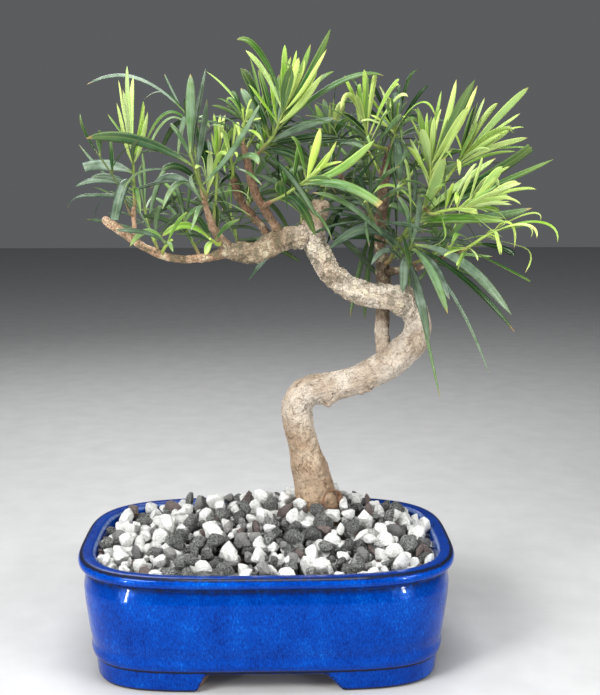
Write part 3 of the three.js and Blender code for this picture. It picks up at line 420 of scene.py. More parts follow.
def oblong_turns(count, a=100, b=68, n=4.0):
    """Turns round a rounded oblong that give corners spaced evenly along it."""
    fine = np.linspace(0, 2 * math.pi, 7201)
    x = a * np.sign(np.cos(fine)) * np.abs(np.cos(fine)) ** (2 / n)
    y = b * np.sign(np.sin(fine)) * np.abs(np.sin(fine)) ** (2 / n)
    run = np.concatenate([[0], np.cumsum(np.hypot(np.diff(x), np.diff(y)))])
    return np.interp(np.linspace(0, run[-1], count, endpoint=False), run, fine)


def oblong(level, turns):
    """The outline of a level of the pot."""
    part = lambda v: np.sign(v) * np.abs(v) ** (2 / level.n)
    return np.stack([level.a * part(np.cos(turns)), level.b * part(np.sin(turns)),
                     np.full(len(turns), float(level.z))], axis=1)


def fine_profile(levels, step, passes):
    """Levels with more rows between them, every bend rounded by averaging neighbours."""
    rows, sources = [], []
    for number, (low, high) in enumerate(zip(levels, levels[1:])):
        count = max(2, math.ceil(math.hypot(high.z - low.z, high.a - low.a) / step))
        for k in range(count):
            rows.append([mix(p, q, k / count) for p, q in zip(low, high)])
            sources.append(number + k / count)
    rows.append(list(levels[-1]))
    sources.append(len(levels) - 1)
    rows = np.array(rows, float)
    for _ in range(passes):
        rows[1:-1] = 0.25 * rows[:-2] + 0.5 * rows[1:-1] + 0.25 * rows[2:]
    return [PotLevel(*row) for row in rows], np.array(sources)


def cut_height(along, cut):
    """Height of a foot cut over the ground: none at the feet, an S up to the top between."""
    (left, right), (left_top, right_top) = cut["ground"], cut["top"]
    rise = np.minimum(fade(along, left, left_top), fade(along, right, right_top))
    return CUT_HEIGHT * (rise * rise * (3 - 2 * rise)) ** 0.9


print(len(POT_LEVELS), "levels of the pot")

# %% The pot's skin as one grid
FRONT_FROM, SIDE_FROM = 50, 80  # where the front and the side walls of the foot begin
RING_TO = 4.4

turns = oblong_turns(POT_COLUMNS)
pot_rows, pot_sources = fine_profile(POT_LEVELS, ROW_STEP, 2)
pot_grid = np.array([oblong(row, turns) for row in pot_rows])
outline = oblong(POT_LEVELS[FOOT_OUTSIDE], turns)
cuts = np.where(np.abs(outline[:, 1]) > FRONT_FROM, cut_height(outline[:, 0], FRONT_CUT),
                np.where(np.abs(outline[:, 0]) > SIDE_FROM,
                         cut_height(outline[:, 1], SIDE_CUT), 0.0))
over_foot = pot_grid[:, :, 2] - cuts[None, :]
ring = pot_sources < RING_TO
pot_grid[ring, :, 2] = np.maximum(pot_grid[ring, :, 2], cuts[None, :])


def grid_faces(rows, columns):
    """Quads of a grid that closes on itself along its columns."""
    k = np.arange(rows * columns).reshape(rows, columns)
    nxt = np.roll(k, -1, axis=1)
    return np.stack([k[:-1], nxt[:-1], nxt[1:], k[1:]], axis=-1).reshape(-1, 4).tolist()


def capped_faces(rows, columns):
    """The same, with one face over the first loop and one over the last."""
    caps = [list(range(columns))[::-1], [(rows - 1) * columns + i for i in range(columns)]]
    return grid_faces(rows, columns) + caps


rows, columns = pot_grid.shape[:2]
pot = new_piece("pot_glazed", pot_grid.reshape(-1, 3), capped_faces(rows, columns))
print("pot grid", rows, "rows,", columns, "columns")

# %% [markdown]
# A glaze runs thin over sharp edges and shows the dark clay there, and it pools where the
# form turns in. The places where that happens are known from the profile, so each point of
# the pot gets a few weights: `thin` on the edges, `pale` along the inner lip, `deep` in the
# band under the lip and over its top, and `bare` on the ground side of the feet.

# %% Where the glaze is thin, pale, deep or missing
def near(place, width):
    """Weight that is 1 on a level of the profile and fades over a width in levels."""
    return np.exp(-((pot_sources - place) / width) ** 2)


over_lip = pot_sources > 18.3
on_foot = (pot_sources > 1.5) & (pot_sources < 4.6)
on_ground_side = (pot_sources > 0.7) & (pot_sources < 2.2)
across = np.ones(columns)
foot_line = np.exp(-((over_foot - 0.8) / 1.1) ** 2) * on_foot[:, None]
glaze_weights = {
    "thin": np.maximum.reduce([
        1.2 * near(5, 0.75)[:, None] * across, 1.05 * near(18, 0.85)[:, None] * across,
        foot_line, 0.66 * near(13, 1.0)[:, None] * across,
    ]),
    "pale": (near(20.5, 0.5)[:, None] + 0.3 * near(19.3, 0.3)[:, None]) * across,
    "deep": np.maximum(near(13, 1.6), 1.1 * over_lip)[:, None] * across,
    "bare": on_ground_side[:, None] * (over_foot < 0.6),
}
for label, weights in glaze_weights.items():
    paint(pot, label, weights)
print("weights of the glaze:", ", ".join(glaze_weights))

# %% Drain holes through the floor
drill = bmesh.new()
for side in (-1, 1):
    bmesh.ops.create_cone(
        drill, cap_ends=True, segments=40, radius1=DRAIN_RADIUS / 1000,
        radius2=DRAIN_RADIUS / 1000, depth=0.02,
        matrix=Matrix.Translation(Vector(placed((side * DRAIN_X, 0, 14)))))
drill_mesh = bpy.data.meshes.new("drill")
drill.to_mesh(drill_mesh)
drill.free()
drill_bit = bpy.data.objects.new("drill", drill_mesh)
bpy.context.scene.collection.objects.link(drill_bit)
drilling = pot.modifiers.new("drain", "BOOLEAN")
drilling.operation, drilling.object, drilling.solver = "DIFFERENCE", drill_bit, "EXACT"
keep_modifiers(pot)
bpy.data.objects.remove(drill_bit)
pot.data.shade_smooth()
pot.data.set_sharp_from_angle(angle=math.radians(50))
print("pot", triangles(pot), "triangles")

# %% [markdown]
# ## Cobalt glaze
#
# Up close the blue is not even: fine streaks run down the wall, brighter where the glaze is
# thick. Noise stretched along the height gives the streaks, a second, coarser noise shifts
# whole areas, and the stored weights bring in the clay. The clear top layer is a coat with
# a very low roughness, and a faint swell in the surface keeps its highlights from being
# perfectly even.

# %% Glaze material
def make_glaze():
    material, tree, shader = new_material(
        "cobalt_glaze", Roughness=0.3, Specular_IOR_Level=0.2, Coat_Weight=0.13,
        Coat_Roughness=0.03, Specular_Tint=(0.10, 0.30, 1.0, 1.0))
    place = own_place(tree)
    streak = noise(stretched(place, (1, 1, 0.4)), 1300, detail=5, roughness=0.7)
    cloud = noise(stretched(place, (1, 1, 0.6)), 60, detail=3)
    blue = ramp(plus(times(streak, 0.66), times(cloud, 0.34)), [
        (0.35, (0.0, 0.012, 0.12)), (0.46, (0.0, 0.029, 0.23)),
        (0.56, (0.0, 0.047, 0.32)), (0.67, (0.004, 0.13, 0.52)),
    ])
    high = add(tree, "ShaderNodeSeparateXYZ", {0: place}).outputs["Z"]
    # painted shade: the blue darkens towards the foot, partly the glaze's own colour, partly shade
    # low on the wall
    blue = tinted(blue, ramp(times(high, 14), [
        (0.15, (0.80, 0.84, 0.88)), (0.75, (1.0, 1.04, 1.04))]))
    blue = blend(times(read(tree, "deep"), 0.55), blue, (0.0, 0.012, 0.11))
    rub = noise(place, 500, detail=3)
    wear = times(read(tree, "thin"), maths("MULTIPLY_ADD", rub, 1.6, 0.1))
    wear = ramp(wear, [(0.25, 0.0), (0.75, 1.0)])
    blue = blend(wear, blue, (0.006, 0.007, 0.016))
    rim = times(read(tree, "pale"), maths("MULTIPLY_ADD", rub, 1.2, 0.3))
    blue = blend(ramp(rim, [(0.35, 0.0), (1.0, 0.75)]), blue, (0.17, 0.24, 0.40))
    clay = blend(rub, (0.10, 0.062, 0.042), (0.16, 0.105, 0.075))
    feed(shader, "Base Color", blend(read(tree, "bare"), blue, clay))
    gloss = maths("MULTIPLY_ADD", wear, 0.25, 0.2)
    feed(shader, "Roughness", maths("MULTIPLY_ADD", read(tree, "bare"), 0.5, gloss))
    swell = plus(noise(place, 120, detail=2), times(streak, 0.12))
    bump(shader, swell, 0.4, 0.0008)
    return material


pot.data.materials.clear()
pot.data.materials.append(make_glaze())
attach(pot, "root")
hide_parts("pot")
print("pot glazed")

# %% [markdown]
# ## Screens over the drain holes
#
# Two squares of plastic mesh lie on the floor of the pot and keep the mix in. They are
# carried over from the CAD model as they are, and need only a dull black plastic.

# %% Screen plastic
def make_screen_plastic():
    material, tree, shader = new_material("screen_plastic", Roughness=0.6)
    grime = noise(own_place(tree), 700)
    feed(shader, "Base Color", ramp(grime, [
        (0.35, (0.010, 0.010, 0.011)), (0.75, (0.035, 0.032, 0.028))]))
    bump(shader, grime, 0.2, 0.0002)
    return material


screen_plastic = make_screen_plastic()
for side in ("left", "right"):
    screen = frame["nodes"]["drain_screen_" + side]
    screen.data.materials.clear()
    screen.data.materials.append(screen_plastic)
print("screens finished")

# %% [markdown]
# ## Potting mix
#
# Under the gravel lies a dark potting mix that fills the pot and rises to a low mound round
# the trunk. Little of it shows, between the stones, but it carries them. Its height is the
# same rule as in the CAD model, a little lower, so that the stones stand in it.

# %% Height of the mound
MOUND = {"x": 24, "y": 22, "edge": 59.5, "top": 76, "reach": (70, 50), "swell": 2}
MIX_GAP = 0.6
STONE_BED = 9
INNER_WALL = 21


def mix_height(x, y):
    """Height of the stones' middle layer: a low mound that falls off to the wall."""
    edge = POT_LEVELS[INNER_WALL]
    out = (np.abs(x / edge.a) ** edge.n + np.abs(y / edge.b) ** edge.n) ** (1 / edge.n)
    wide, deep = MOUND["reach"]
    close = np.exp(-(((x - MOUND["x"]) / wide) ** 2) - ((y - MOUND["y"]) / deep) ** 2)
    rise = (MOUND["top"] - MOUND["edge"]) * close * (1 - np.minimum(out, 1) ** 4)
    return MOUND["edge"] + rise + MOUND["swell"] * (1 - out)


print("mound", round(float(mix_height(MOUND["x"], MOUND["y"])), 1), "mm high")

# %% Body of the mix
MIX_COLUMNS = 96
MIX_LOOPS = 22
MIX_LIFT = 0.3
WALL_FROM_FLOOR = (23, 22, 21)


def make_mix():
    """The mix as one grid: up the pot's wall from its floor, then in to the mound's top."""
    loops = []
    for number in WALL_FROM_FLOOR:
        level = POT_LEVELS[number]
        inset = level._replace(a=level.a - MIX_GAP, b=level.b - MIX_GAP)
        loops.append(oblong(inset, oblong_turns(MIX_COLUMNS)))
    loops[0][:, 2] += MIX_LIFT
    edge = loops.pop()
    for share in np.linspace(1, 0.02, MIX_LOOPS):
        x, y = mix(MOUND["x"], edge[:, 0], share), mix(MOUND["y"], edge[:, 1], share)
        loops.append(np.stack([x, y, mix_height(x, y) - STONE_BED], axis=1))
    grid = np.array(loops)
    return new_piece("potting_mix", grid.reshape(-1, 3), capped_faces(*grid.shape[:2]))


def make_soil():
    material, tree, shader = new_material("dark_mix", Roughness=0.95)
    crumb = noise(own_place(tree), 450, detail=6, roughness=0.7)
    feed(shader, "Base Color", ramp(crumb, [
        (0.35, (0.012, 0.009, 0.007)), (0.7, (0.06, 0.047, 0.036))]))
    bump(shader, crumb, 0.9, 0.002)
    return material


potting_mix = make_mix()
potting_mix.data.materials.append(make_soil())
print("potting mix", triangles(potting_mix), "triangles")

# %% [markdown]
# ## Gravel
#
# The top dressing is crushed pumice and lava, grains of 5 to 12 mm, about as many white as
# dark. Poured stones lie in the hollows between the ones below, so each new stone here is
# offered a few places and takes the lowest. That gives only points; a geometry tree then puts
# one of eight broken shapes on each point, turned by chance, and keeps each stone's kind as a
# value that the material reads.

# %% Eight broken stones
STONE_SHAPES = 8
SHAPE_SEED = 60
STONE_CHIPS = 9
CHIP_DEPTH = (0.5, 0.82)
STONE_ROUGHNESS = (0.95, 1.04)


def broken_stone(number):
    """A ball of 80 faces with flat chips knocked off it."""
    throw = np.random.default_rng(SHAPE_SEED + number)
    ball = bmesh.new()
    bmesh.ops.create_icosphere(ball, subdivisions=2, radius=1)
    for _ in range(STONE_CHIPS):
        side = unit(throw.normal(size=3))
        depth = throw.uniform(*CHIP_DEPTH)
        for corner in ball.verts:
            over = float(np.dot(corner.co, side)) - depth
            if over > 0:
                corner.co -= Vector(side) * over
    for corner in ball.verts:
        corner.co *= throw.uniform(*STONE_ROUGHNESS)
    mesh = bpy.data.meshes.new(f"stone_shape_{number}")
    ball.to_mesh(mesh)
    ball.free()
    mesh.shade_smooth()
    mesh.set_sharp_from_angle(angle=math.radians(24))
    return bpy.data.objects.new(mesh.name, mesh)


shapes = bpy.data.collections.new("stone_shapes")
for number in range(STONE_SHAPES):
    shapes.objects.link(broken_stone(number))

# %% Pouring the stones
STONE_SEED = 17
STONE_COUNT = 980
STONE_RADIUS = (2.4, 6.1)
STONE_OFFERS = 10
STONE_FIELD = (95, 63)
STONE_SINK = 0.45  # height of a lying stone's middle over its bed, in radii
STONE_SETTLE = 0.80  # how near two stones come, as a share of their radii together
STONE_CLIMB = 0.8  # how high one stands on the other, as a share of two balls
RIM_SHARE = 0.86  # how much of a stone's radius stays inside the lip
BACK_RISE = 2.2
TRUNK_FOOT = np.array([32.4, 20.0])
TRUNK_CLEAR = 11.5
STONE_KINDS = {"pumice": 0.46, "lava": 0.34, "grey": 0.12, "mauve": 0.08}
STONE_FORM = (1.15, 0.98, 0.84)
MAUVE_FORM = (1.15, 0.95, 0.68)


def offered_place(throw, radius, rim):
    """A place by chance, inside the lip and clear of the trunk."""
    while True:
        x, y = (throw.uniform(-half, half) for half in STONE_FIELD)
        a, b = rim.a - radius * RIM_SHARE, rim.b - radius * RIM_SHARE
        inside = abs(x / a) ** rim.n + abs(y / b) ** rim.n < 1
        gap = np.hypot(x - TRUNK_FOOT[0], y - TRUNK_FOOT[1])
        if inside and gap > TRUNK_CLEAR + radius * 0.6:
            return x, y


def pour_stones():
    """Centres, half sizes and kinds of the stones, each at the lowest place it was offered."""
    throw = np.random.default_rng(STONE_SEED)
    rim = POT_LEVELS[LIP_INSIDE]
    centres, radii = np.zeros((STONE_COUNT, 3)), np.zeros(STONE_COUNT)
    for number in range(STONE_COUNT):
        radius = mix(*STONE_RADIUS, throw.random() ** 1.4)
        best = None
        for _ in range(STONE_OFFERS):
            x, y = offered_place(throw, radius, rim)
            bed = float(mix_height(x, y)) - STONE_BED + BACK_RISE * max(y, 0) / rim.b
            height = bed + STONE_SINK * radius
            flat = np.hypot(centres[:number, 0] - x, centres[:number, 1] - y)
            reach = (radii[:number] + radius) * STONE_SETTLE
            close = flat < reach
            if close.any():
                climb = STONE_CLIMB * np.sqrt(reach[close] ** 2 - flat[close] ** 2)
                height = max(height, float((centres[:number, 2][close] + climb).max()))
            rise = height - bed
            if best is None or rise < best[0]:
                best = (rise, x, y, height)
        centres[number] = best[1:]
        radii[number] = radius
    form = throw.uniform(0.74, 1.2, (STONE_COUNT, 3)) * STONE_FORM
    kinds = throw.choice(len(STONE_KINDS), STONE_COUNT, p=list(STONE_KINDS.values()))
    form[kinds == list(STONE_KINDS).index("mauve")] *= MAUVE_FORM
    cover = centres[:, 2] + radii * 0.8 - mix_height(centres[:, 0], centres[:, 1])
    print("stones stand over the mound by", np.percentile(cover, [50, 90, 100]).round(1), "mm")
    return centres, radii[:, None] * form, kinds, throw.uniform(0, 1, STONE_COUNT)


stone_centres, stone_sizes, stone_kinds, stone_tones = pour_stones()
gravel = new_piece("gravel_stones", stone_centres)
paint(gravel, "size", stone_sizes / 1000, "FLOAT_VECTOR")
paint(gravel, "kind", stone_kinds)
paint(gravel, "tone", stone_tones)
print(STONE_COUNT, "stones, up to", round(stone_centres[:, 2].max(), 1), "mm high")

# %% A tree that puts a stone on every point
def make_stone_tree():
    tree, source, result = geometry_tree(
        "gravel_tree", Shapes=("Collection", None), Size=("Float", 1.0), Seed=("Int", 5),
        Finish=("Material", None))
    choice = add(tree, "FunctionNodeRandomValue", {
        5: STONE_SHAPES - 1, "Seed": source["Seed"]}, data_type="INT")
    spin = add(tree, "FunctionNodeRandomValue", {
        0: (0, 0, 0), 1: (6.283, 6.283, 6.283), "Seed": source["Seed"]},
        data_type="FLOAT_VECTOR")
    turn = add(tree, "FunctionNodeEulerToRotation", {"Euler": spin.outputs[0]})
    size = add(tree, "ShaderNodeVectorMath", {
        0: attribute(tree, "size", "FLOAT_VECTOR"), "Scale": source["Size"]},
        operation="SCALE")
    stones = add(tree, "GeometryNodeCollectionInfo", {
        "Collection": source["Shapes"], "Separate Children": True, "Reset Children": True})
    laid = add(tree, "GeometryNodeInstanceOnPoints", {
        "Points": source["Geometry"], "Instance": stones.outputs[0], "Pick Instance": True,
        "Instance Index": choice.outputs[2], "Rotation": turn.outputs[0],
        "Scale": size.outputs[0]})
    end_tree(laid.outputs[0], source["Finish"], result)
    return tree


print("stone tree described")

# %% [markdown]
# Pumice is chalky white with fine pits, lava is dark and full of holes, and between them
# lie grey and a few mauve chips. One material holds all four: it picks its colour and the
# depth of its pits by the kind that each stone carries.

# %% Stone material
def make_stone_finish():
    material, tree, shader = new_material("pumice_and_lava", Roughness=0.93)
    place = own_place(tree)
    kind, tone = read(tree, "kind"), read(tree, "tone")
    grain = noise(place, 900, detail=6, roughness=0.7)
    pumice = blend(noise(place, 220, detail=3), (0.62, 0.62, 0.59), (0.90, 0.91, 0.88))
    crumb = ramp(noise(place, 1100, detail=4, roughness=0.7), [(0.36, 0.0), (0.58, 1.0)])
    lava = blend(crumb, (0.020, 0.021, 0.020),
                 blend(tone, (0.17, 0.175, 0.165), (0.40, 0.41, 0.385)))
    grey = blend(tone, (0.17, 0.17, 0.168), (0.36, 0.355, 0.34))
    mauve = blend(tone, (0.13, 0.102, 0.095), (0.29, 0.225, 0.208))
    colour = pumice
    for number, other in enumerate((lava, grey, mauve)):
        colour = blend(maths("GREATER_THAN", kind, number + 0.5), colour, other)
    colour = tinted(colour, ramp(grain, [(0.32, 0.35), (0.46, 1.0), (0.75, 1.12)]), 0.8)
    feed(shader, "Base Color", colour)
    holes = add(tree, "ShaderNodeTexVoronoi", {"Vector": place, "Scale": 800})
    pits = ramp(holes.outputs["Distance"], [(0.12, 0.0), (0.42, 1.0)])
    rough_kind = ramp(times(kind, 0.333), [(0.0, 0.35), (0.3, 1.0), (0.7, 0.8)])
    relief = plus(plus(pits, times(grain, 1.2)), times(crumb, 0.8))
    bump(shader, times(relief, rough_kind), 1.0, 0.0014)
    return material


run_tree(gravel, make_stone_tree(), Shapes=shapes, Size=1.0, Seed=5, Finish=make_stone_finish())
for shape in list(shapes.objects):
    bpy.data.objects.remove(shape)
bpy.data.collections.remove(shapes)
for piece in (potting_mix, gravel):
    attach(piece, "root")
    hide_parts("gravel")
print("gravel", triangles(gravel), "triangles")

# %% [markdown]
# ## Trunk, limbs and twigs
#
# The trunk rises, swings to the right, loops back over itself and ends in two limbs. Each
# stretch of wood is a row of points with a radius, the same rows as in the CAD model. A tube
# follows each row on a smooth curve. Forks have to be one flowing surface, and tubes pushed
# into each other would show a hard line there, so a voxel remesh fuses them all.

# %% Centre lines of the wood: x, y, z and radius
WOOD = {
    "trunk": [
        (34, 20, 51, 10.6), (32.6, 20, 69, 11.4), (30.2, 20, 80, 11.6), (27.5, 19.5, 90, 11.1),
        (24.8, 19, 101.4, 10.5), (22.1, 18.5, 111.2, 9.1), (20, 18, 120, 8.6),
        (18.3, 17.5, 129, 8.8), (17.7, 17, 137, 9), (20, 17, 143.3, 8.9), (25.8, 17, 147.2, 8.7),
        (34.5, 17, 149, 8.4), (45.5, 17, 151.5, 8.1), (57, 17, 155.3, 8.2),
        (68.7, 17, 161.4, 8.5), (78.3, 16, 169.2, 8.7), (84.7, 15, 177, 8.2),
        (86.7, 14, 185.8, 7.3), (84.5, 13, 194, 7.8), (78.5, 12, 199.6, 8), (71, 11.5, 202, 7.4),
        (61.8, 11, 203.2, 6.8), (52.2, 11, 205.5, 6.7), (44.2, 11, 209.8, 6.7),
        (37.4, 11, 216, 6.7), (31.7, 11, 224, 6.6), (28, 11, 232, 6.5), (26.8, 11, 239.2, 6.3),
        (28.6, 12, 247, 5.3), (31, 13, 255.8, 4.5),
    ],
    "limb_left": [
        (27, 11, 236.4, 5.4), (20.9, 10, 236.8, 5.7), (13.6, 9, 236.8, 5.9), (6.9, 8, 234.4, 5.9),
        (-0.4, 7, 230, 5.6), (-8.8, 6, 228.2, 5.7), (-16, 5, 228.8, 5.3), (-22, 4, 228.9, 3.9),
        (-28.7, 3, 226.5, 2.6), (-36.3, 1, 225.6, 2.3), (-43, 0, 225, 2.2), (-51.5, -2, 226, 2.1),
        (-59, -3, 228, 2.2), (-67, -4, 232.4, 2.2), (-74, -5, 237, 2.2), (-80, -6, 242, 2.4),
        (-85.4, -6, 245.6, 2.5), (-88, -6, 247.6, 2),
    ],
    "limb_right": [
        (70, 17.5, 160, 4.6), (68.3, 20, 169.7, 4.5), (67.3, 23, 178.6, 4.2), (67.9, 27, 188, 4),
        (68.4, 30, 198.3, 3.8), (68.9, 31, 208.2, 4), (68.2, 31, 217, 4.2),
        (66.9, 30, 226.4, 3.4), (66.2, 30, 234.5, 3.2), (66.7, 30, 243.7, 3.1),
        (67.6, 29, 253.5, 3.1), (67.8, 27, 263.3, 3), (68, 24, 273.5, 2.6),
        (69.2, 20, 281.3, 2.1), (70.2, 15.5, 286.5, 1.8),
    ],
    "twig_tip": [
        (-69.6, -4.2, 233.6, 1.7), (-71.2, -4, 241, 1.6), (-71.5, -4, 248, 1.5),
        (-71.4, -4, 254, 1.4),
    ],
    "twig_left": [
        (-18.6, 4.2, 228.6, 3.6), (-24.7, 3, 235.4, 3.1), (-29, 2, 242.6, 2.4),
        (-31.6, 1, 250.3, 2), (-33.4, 0.4, 257, 1.8),
    ],
    "twig_back": [
        (4.7, 9.5, 233.5, 2.8), (-1.5, 13, 242, 2.3), (-7.6, 15, 248, 2.4),
        (-12.7, 15, 254.7, 2.6), (-15.9, 14, 262, 2.5), (-18, 12, 268.6, 2.2),
    ],
    "twig_main": [
        (8.4, 8, 235.4, 3.4), (3, 7, 246.7, 2.8), (-1.4, 6, 254, 2.5), (-5.2, 5, 261, 2.5),
        (-7.9, 4, 269.3, 2.5), (-9.4, 3, 276.4, 2.3), (-11, 3, 282.8, 2), (-12.1, 4, 287.4, 1.8),
    ],
    "twig_fore": [
        (-1.6, 5.6, 253, 1.9), (0.9, 2, 255.2, 1.7), (3.1, -2, 256.4, 1.5),
    ],
    "twig_apex": [
        (-10.4, 2.8, 279.6, 1.8), (-7.2, 1, 281.2, 1.5), (-4.9, 0.2, 282, 1.4),
    ],
    "twig_low": [
        (68.6, 30, 214.6, 2.9), (76.6, 27, 216, 2.4), (84, 22, 217.2, 2.2),
        (90.3, 17, 219.4, 1.9), (96.3, 12, 223.2, 1.6), (103, 6, 226.6, 1.5),
        (107.6, 2.6, 228.8, 1.4),
    ],
    "twig_inner": [
        (66.6, 29.6, 240.4, 2.4), (59.4, 29.4, 249.6, 1.9), (51, 28, 258.8, 1.7),
        (44, 25.8, 268, 1.6), (39, 24.2, 279.4, 1.4),
    ],
}

# A surface root that loops out of the gravel beside the trunk.
WOOD_EXTRA = {
    "root_loop": [
        (33.5, 8, 72, 1.1), (32.6, 7, 80, 0.9), (33, 6.6, 86, 0.8), (35.6, 7, 89.6, 0.7),
        (39.6, 9.6, 89, 0.8), (42.4, 13, 86, 0.9), (43, 15, 80, 1),
    ],
}

# Places where the bark bulges: x, y, z, width, height. Knots, a cut stub, and the root flare.
BULGES = [
    (35.5, 13, 141, 3, 3.6), (38.4, 12, 142.2, 2, 2.6), (32.6, 14, 142, 2, 1.8),
    (36, 9.5, 143, 2, 1.6), (55, 12, 146.5, 2.6, 1.8), (59, 13, 148, 2, 1.2),
    (46, 12, 143.5, 1.8, 1.1), (50, 13, 144, 1.6, 0.9), (8.7, 15, 141, 2.2, 1.1),
    (10, 14, 134, 2, 0.8), (28, 11, 252, 3, 0.6), (33, 12, 249, 3, 0.8), (24, 8, 244, 4, 1.4),
    (76, 10, 193, 4, 0.9), (18, 9, 232, 4, 1.3), (0, 7, 236, 3, 1.0), (17, 12, 140, 7, 0.9),
    (26, 12, 100, 6, 1.0), (36.5, 14, 92, 5, 0.9), (22.5, 13, 88, 4, 1.1), (88, 10, 172, 6, 1.0),
    (79, 10, 161, 5, 0.9), (64, 13, 166, 6, 1.3), (92, 12, 186, 5, 0.6), (8, 3, 233, 5, 1.2),
    (-4, 2, 226, 4, 1.0), (14, 4, 230, 5, 0.9), (-14, 1, 232, 4, 1.0), (30, 6, 236, 5, 0.8),
    (62, 8, 198, 5, 0.7), (41, 12, 80, 6, 2.2), (24, 13, 79, 6, 1.8), (69.6, 18, 163.5, 6.5, 1.8),
    (32, 30, 79, 7, 1.6), (32, 9, 78, 5, 1.2), (20, 15, 92, 3, 1.2), (19.5, 16, 84, 4, 1.6),
]
print(len(WOOD) + len(WOOD_EXTRA), "branches and", len(BULGES), "bulges")

# %% Smooth centre lines
LINE_STEP = 1.1


def smooth_line(row, step):
    """Points along a Catmull-Rom curve through a row of (x, y, z, radius)."""
    row = np.array(row, float)
    ends = np.vstack([2 * row[0] - row[1], row, 2 * row[-1] - row[-2]])
    points = []
    for a, b, c, d in zip(ends, ends[1:], ends[2:], ends[3:]):
        count = max(2, math.ceil(np.linalg.norm((c - b)[:3]) / step))
        for t in np.arange(count) / count:
            points.append(0.5 * (2 * b + (c - a) * t + (2 * a - 5 * b + 4 * c - d) * t * t
                                 + (3 * b - a - 3 * c + d) * t ** 3))
    points.append(row[-1])
    return np.array(points)


def line_frames(points):
    """For each point of a line: its direction and two sides, turned as little as possible."""
    ahead = np.vstack([points[1:], points[-1:]]) - np.vstack([points[:1], points[:-1]])
    along = ahead / np.linalg.norm(ahead, axis=1, keepdims=True)
    side = np.array([0.0, 1.0, 0.0]) if abs(along[0][1]) < 0.8 else np.array([1.0, 0.0, 0.0])
    sides = []
    for direction in along:
        side = unit(side - direction * np.dot(side, direction))
        sides.append(side)
    sides = np.array(sides)
    return along, sides, np.cross(along, sides)


wood_lines = {name: smooth_line(row, LINE_STEP) for name, row in (WOOD | WOOD_EXTRA).items()}
print("wood,", sum(len(line) for line in wood_lines.values()), "points along its lines")

# %% Tubes round the lines, fused by a voxel remesh
VOXEL = 0.62
SOFTEN_SHARE = 0.5
SOFTEN_PASSES = 4
TWIG_GIRTH = 4  # branches that stay under this radius are twigs
TWIG_END = 0.35
TWIG_SHARE = 0.92
TWIG_SIDES = 16
LIMB_SIDES = 30


def tube(line, sides):
    """Points and faces of a round tube with a domed end."""
    points, radii = line[:, :3], line[:, 3]
    along, side, other = line_frames(points)
    turn = np.linspace(0, 2 * math.pi, sides, endpoint=False)
    out = (np.cos(turn)[None, :, None] * side[:, None]
           + np.sin(turn)[None, :, None] * other[:, None])
    loops = points[:, None] + radii[:, None, None] * out
    dome = points[-1] + along[-1] * radii[-1] * TWIG_END
    corners = loops.reshape(-1, 3).tolist() + [dome.tolist()]
    faces = [[a, d, c, b] for a, b, c, d in grid_faces(len(loops), sides)]
    last = (len(loops) - 1) * sides
    faces.append(list(range(sides)))
    faces += [[last + (i + 1) % sides, last + i, len(corners) - 1] for i in range(sides)]
    return corners, faces


def make_wood():
    """All tubes in one mesh, fused and softened where they meet."""
    corners, faces = [], []
    for line in wood_lines.values():
        twig = line[:, 3].max() < TWIG_GIRTH
        line = line * [1, 1, 1, TWIG_SHARE if twig else 1]
        new_corners, new_faces = tube(line, TWIG_SIDES if twig else LIMB_SIDES)
        faces += [[i + len(corners) for i in face] for face in new_faces]
        corners += new_corners
    piece = new_piece("trunk_bark", corners, faces)
    fuse = piece.modifiers.new("fuse", "REMESH")
    fuse.mode, fuse.voxel_size = "VOXEL", VOXEL / 1000
    soften = piece.modifiers.new("soften", "SMOOTH")
    soften.factor, soften.iterations = SOFTEN_SHARE, SOFTEN_PASSES
    keep_modifiers(piece)
    return piece


wood = make_wood()
print("wood", triangles(wood), "triangles")

# %% [markdown]
# Bark runs along the branch it grows on, so its pattern must too, through every bend. Each
# point of the mesh is matched with the nearest centre line, which gives how far along the
# branch it lies and where round it. Those three numbers, stored as `grain`, are the place
# that the relief and the colours read, and the pattern then follows the wood without a seam.

# %% Where each point lies along and round its branch
BRANCHES = list(wood_lines)
BRANCH_SHIFT = 400  # keeps the grain of one branch away from the next
BATCH = 8000  # points matched at a time
RIGHT_WOOD = [BRANCHES.index(name) for name in ("limb_right", "twig_low", "twig_inner")]
STUB_GREY = 0.9
CUT_END = 2.6


def points_of(piece):
    """A piece's corners in pot millimetres."""
    flat = np.empty(len(piece.data.vertices) * 3, np.float32)
    piece.data.vertices.foreach_get("co", flat)
    return (flat.reshape(-1, 3).astype(float) - POT_CENTRE) * 1000


def wood_places(points):
    """Grain place, branch radius and branch number for each point."""
    best = np.full(len(points), 1e9)
    grain = np.zeros((len(points), 3))
    girth, branch = np.zeros(len(points)), np.zeros(len(points))
    for number, line in enumerate(wood_lines.values()):
        centre, radius = line[:, :3], line[:, 3]
        along, side, other = line_frames(centre)
        run = np.concatenate([[0], np.cumsum(np.linalg.norm(np.diff(centre, axis=0), axis=1))])
        for start in range(0, len(points), BATCH):
            part = points[start:start + BATCH]
            gap = np.linalg.norm(part[:, None] - centre[None], axis=2) - radius[None]
            nearest = gap.argmin(axis=1)
            closer = gap[np.arange(len(part)), nearest] < best[start:start + BATCH]
            which = np.nonzero(closer)[0] + start
            k = nearest[closer]
            best[which] = gap[np.nonzero(closer)[0], k]
            out = points[which] - centre[k]
            grain[which] = np.stack([
                run[k] + (out * along[k]).sum(1) + BRANCH_SHIFT * number,
                (out * side[k]).sum(1), (out * other[k]).sum(1)], axis=1)
            girth[which], branch[which] = radius[k], number
    return grain, girth, branch


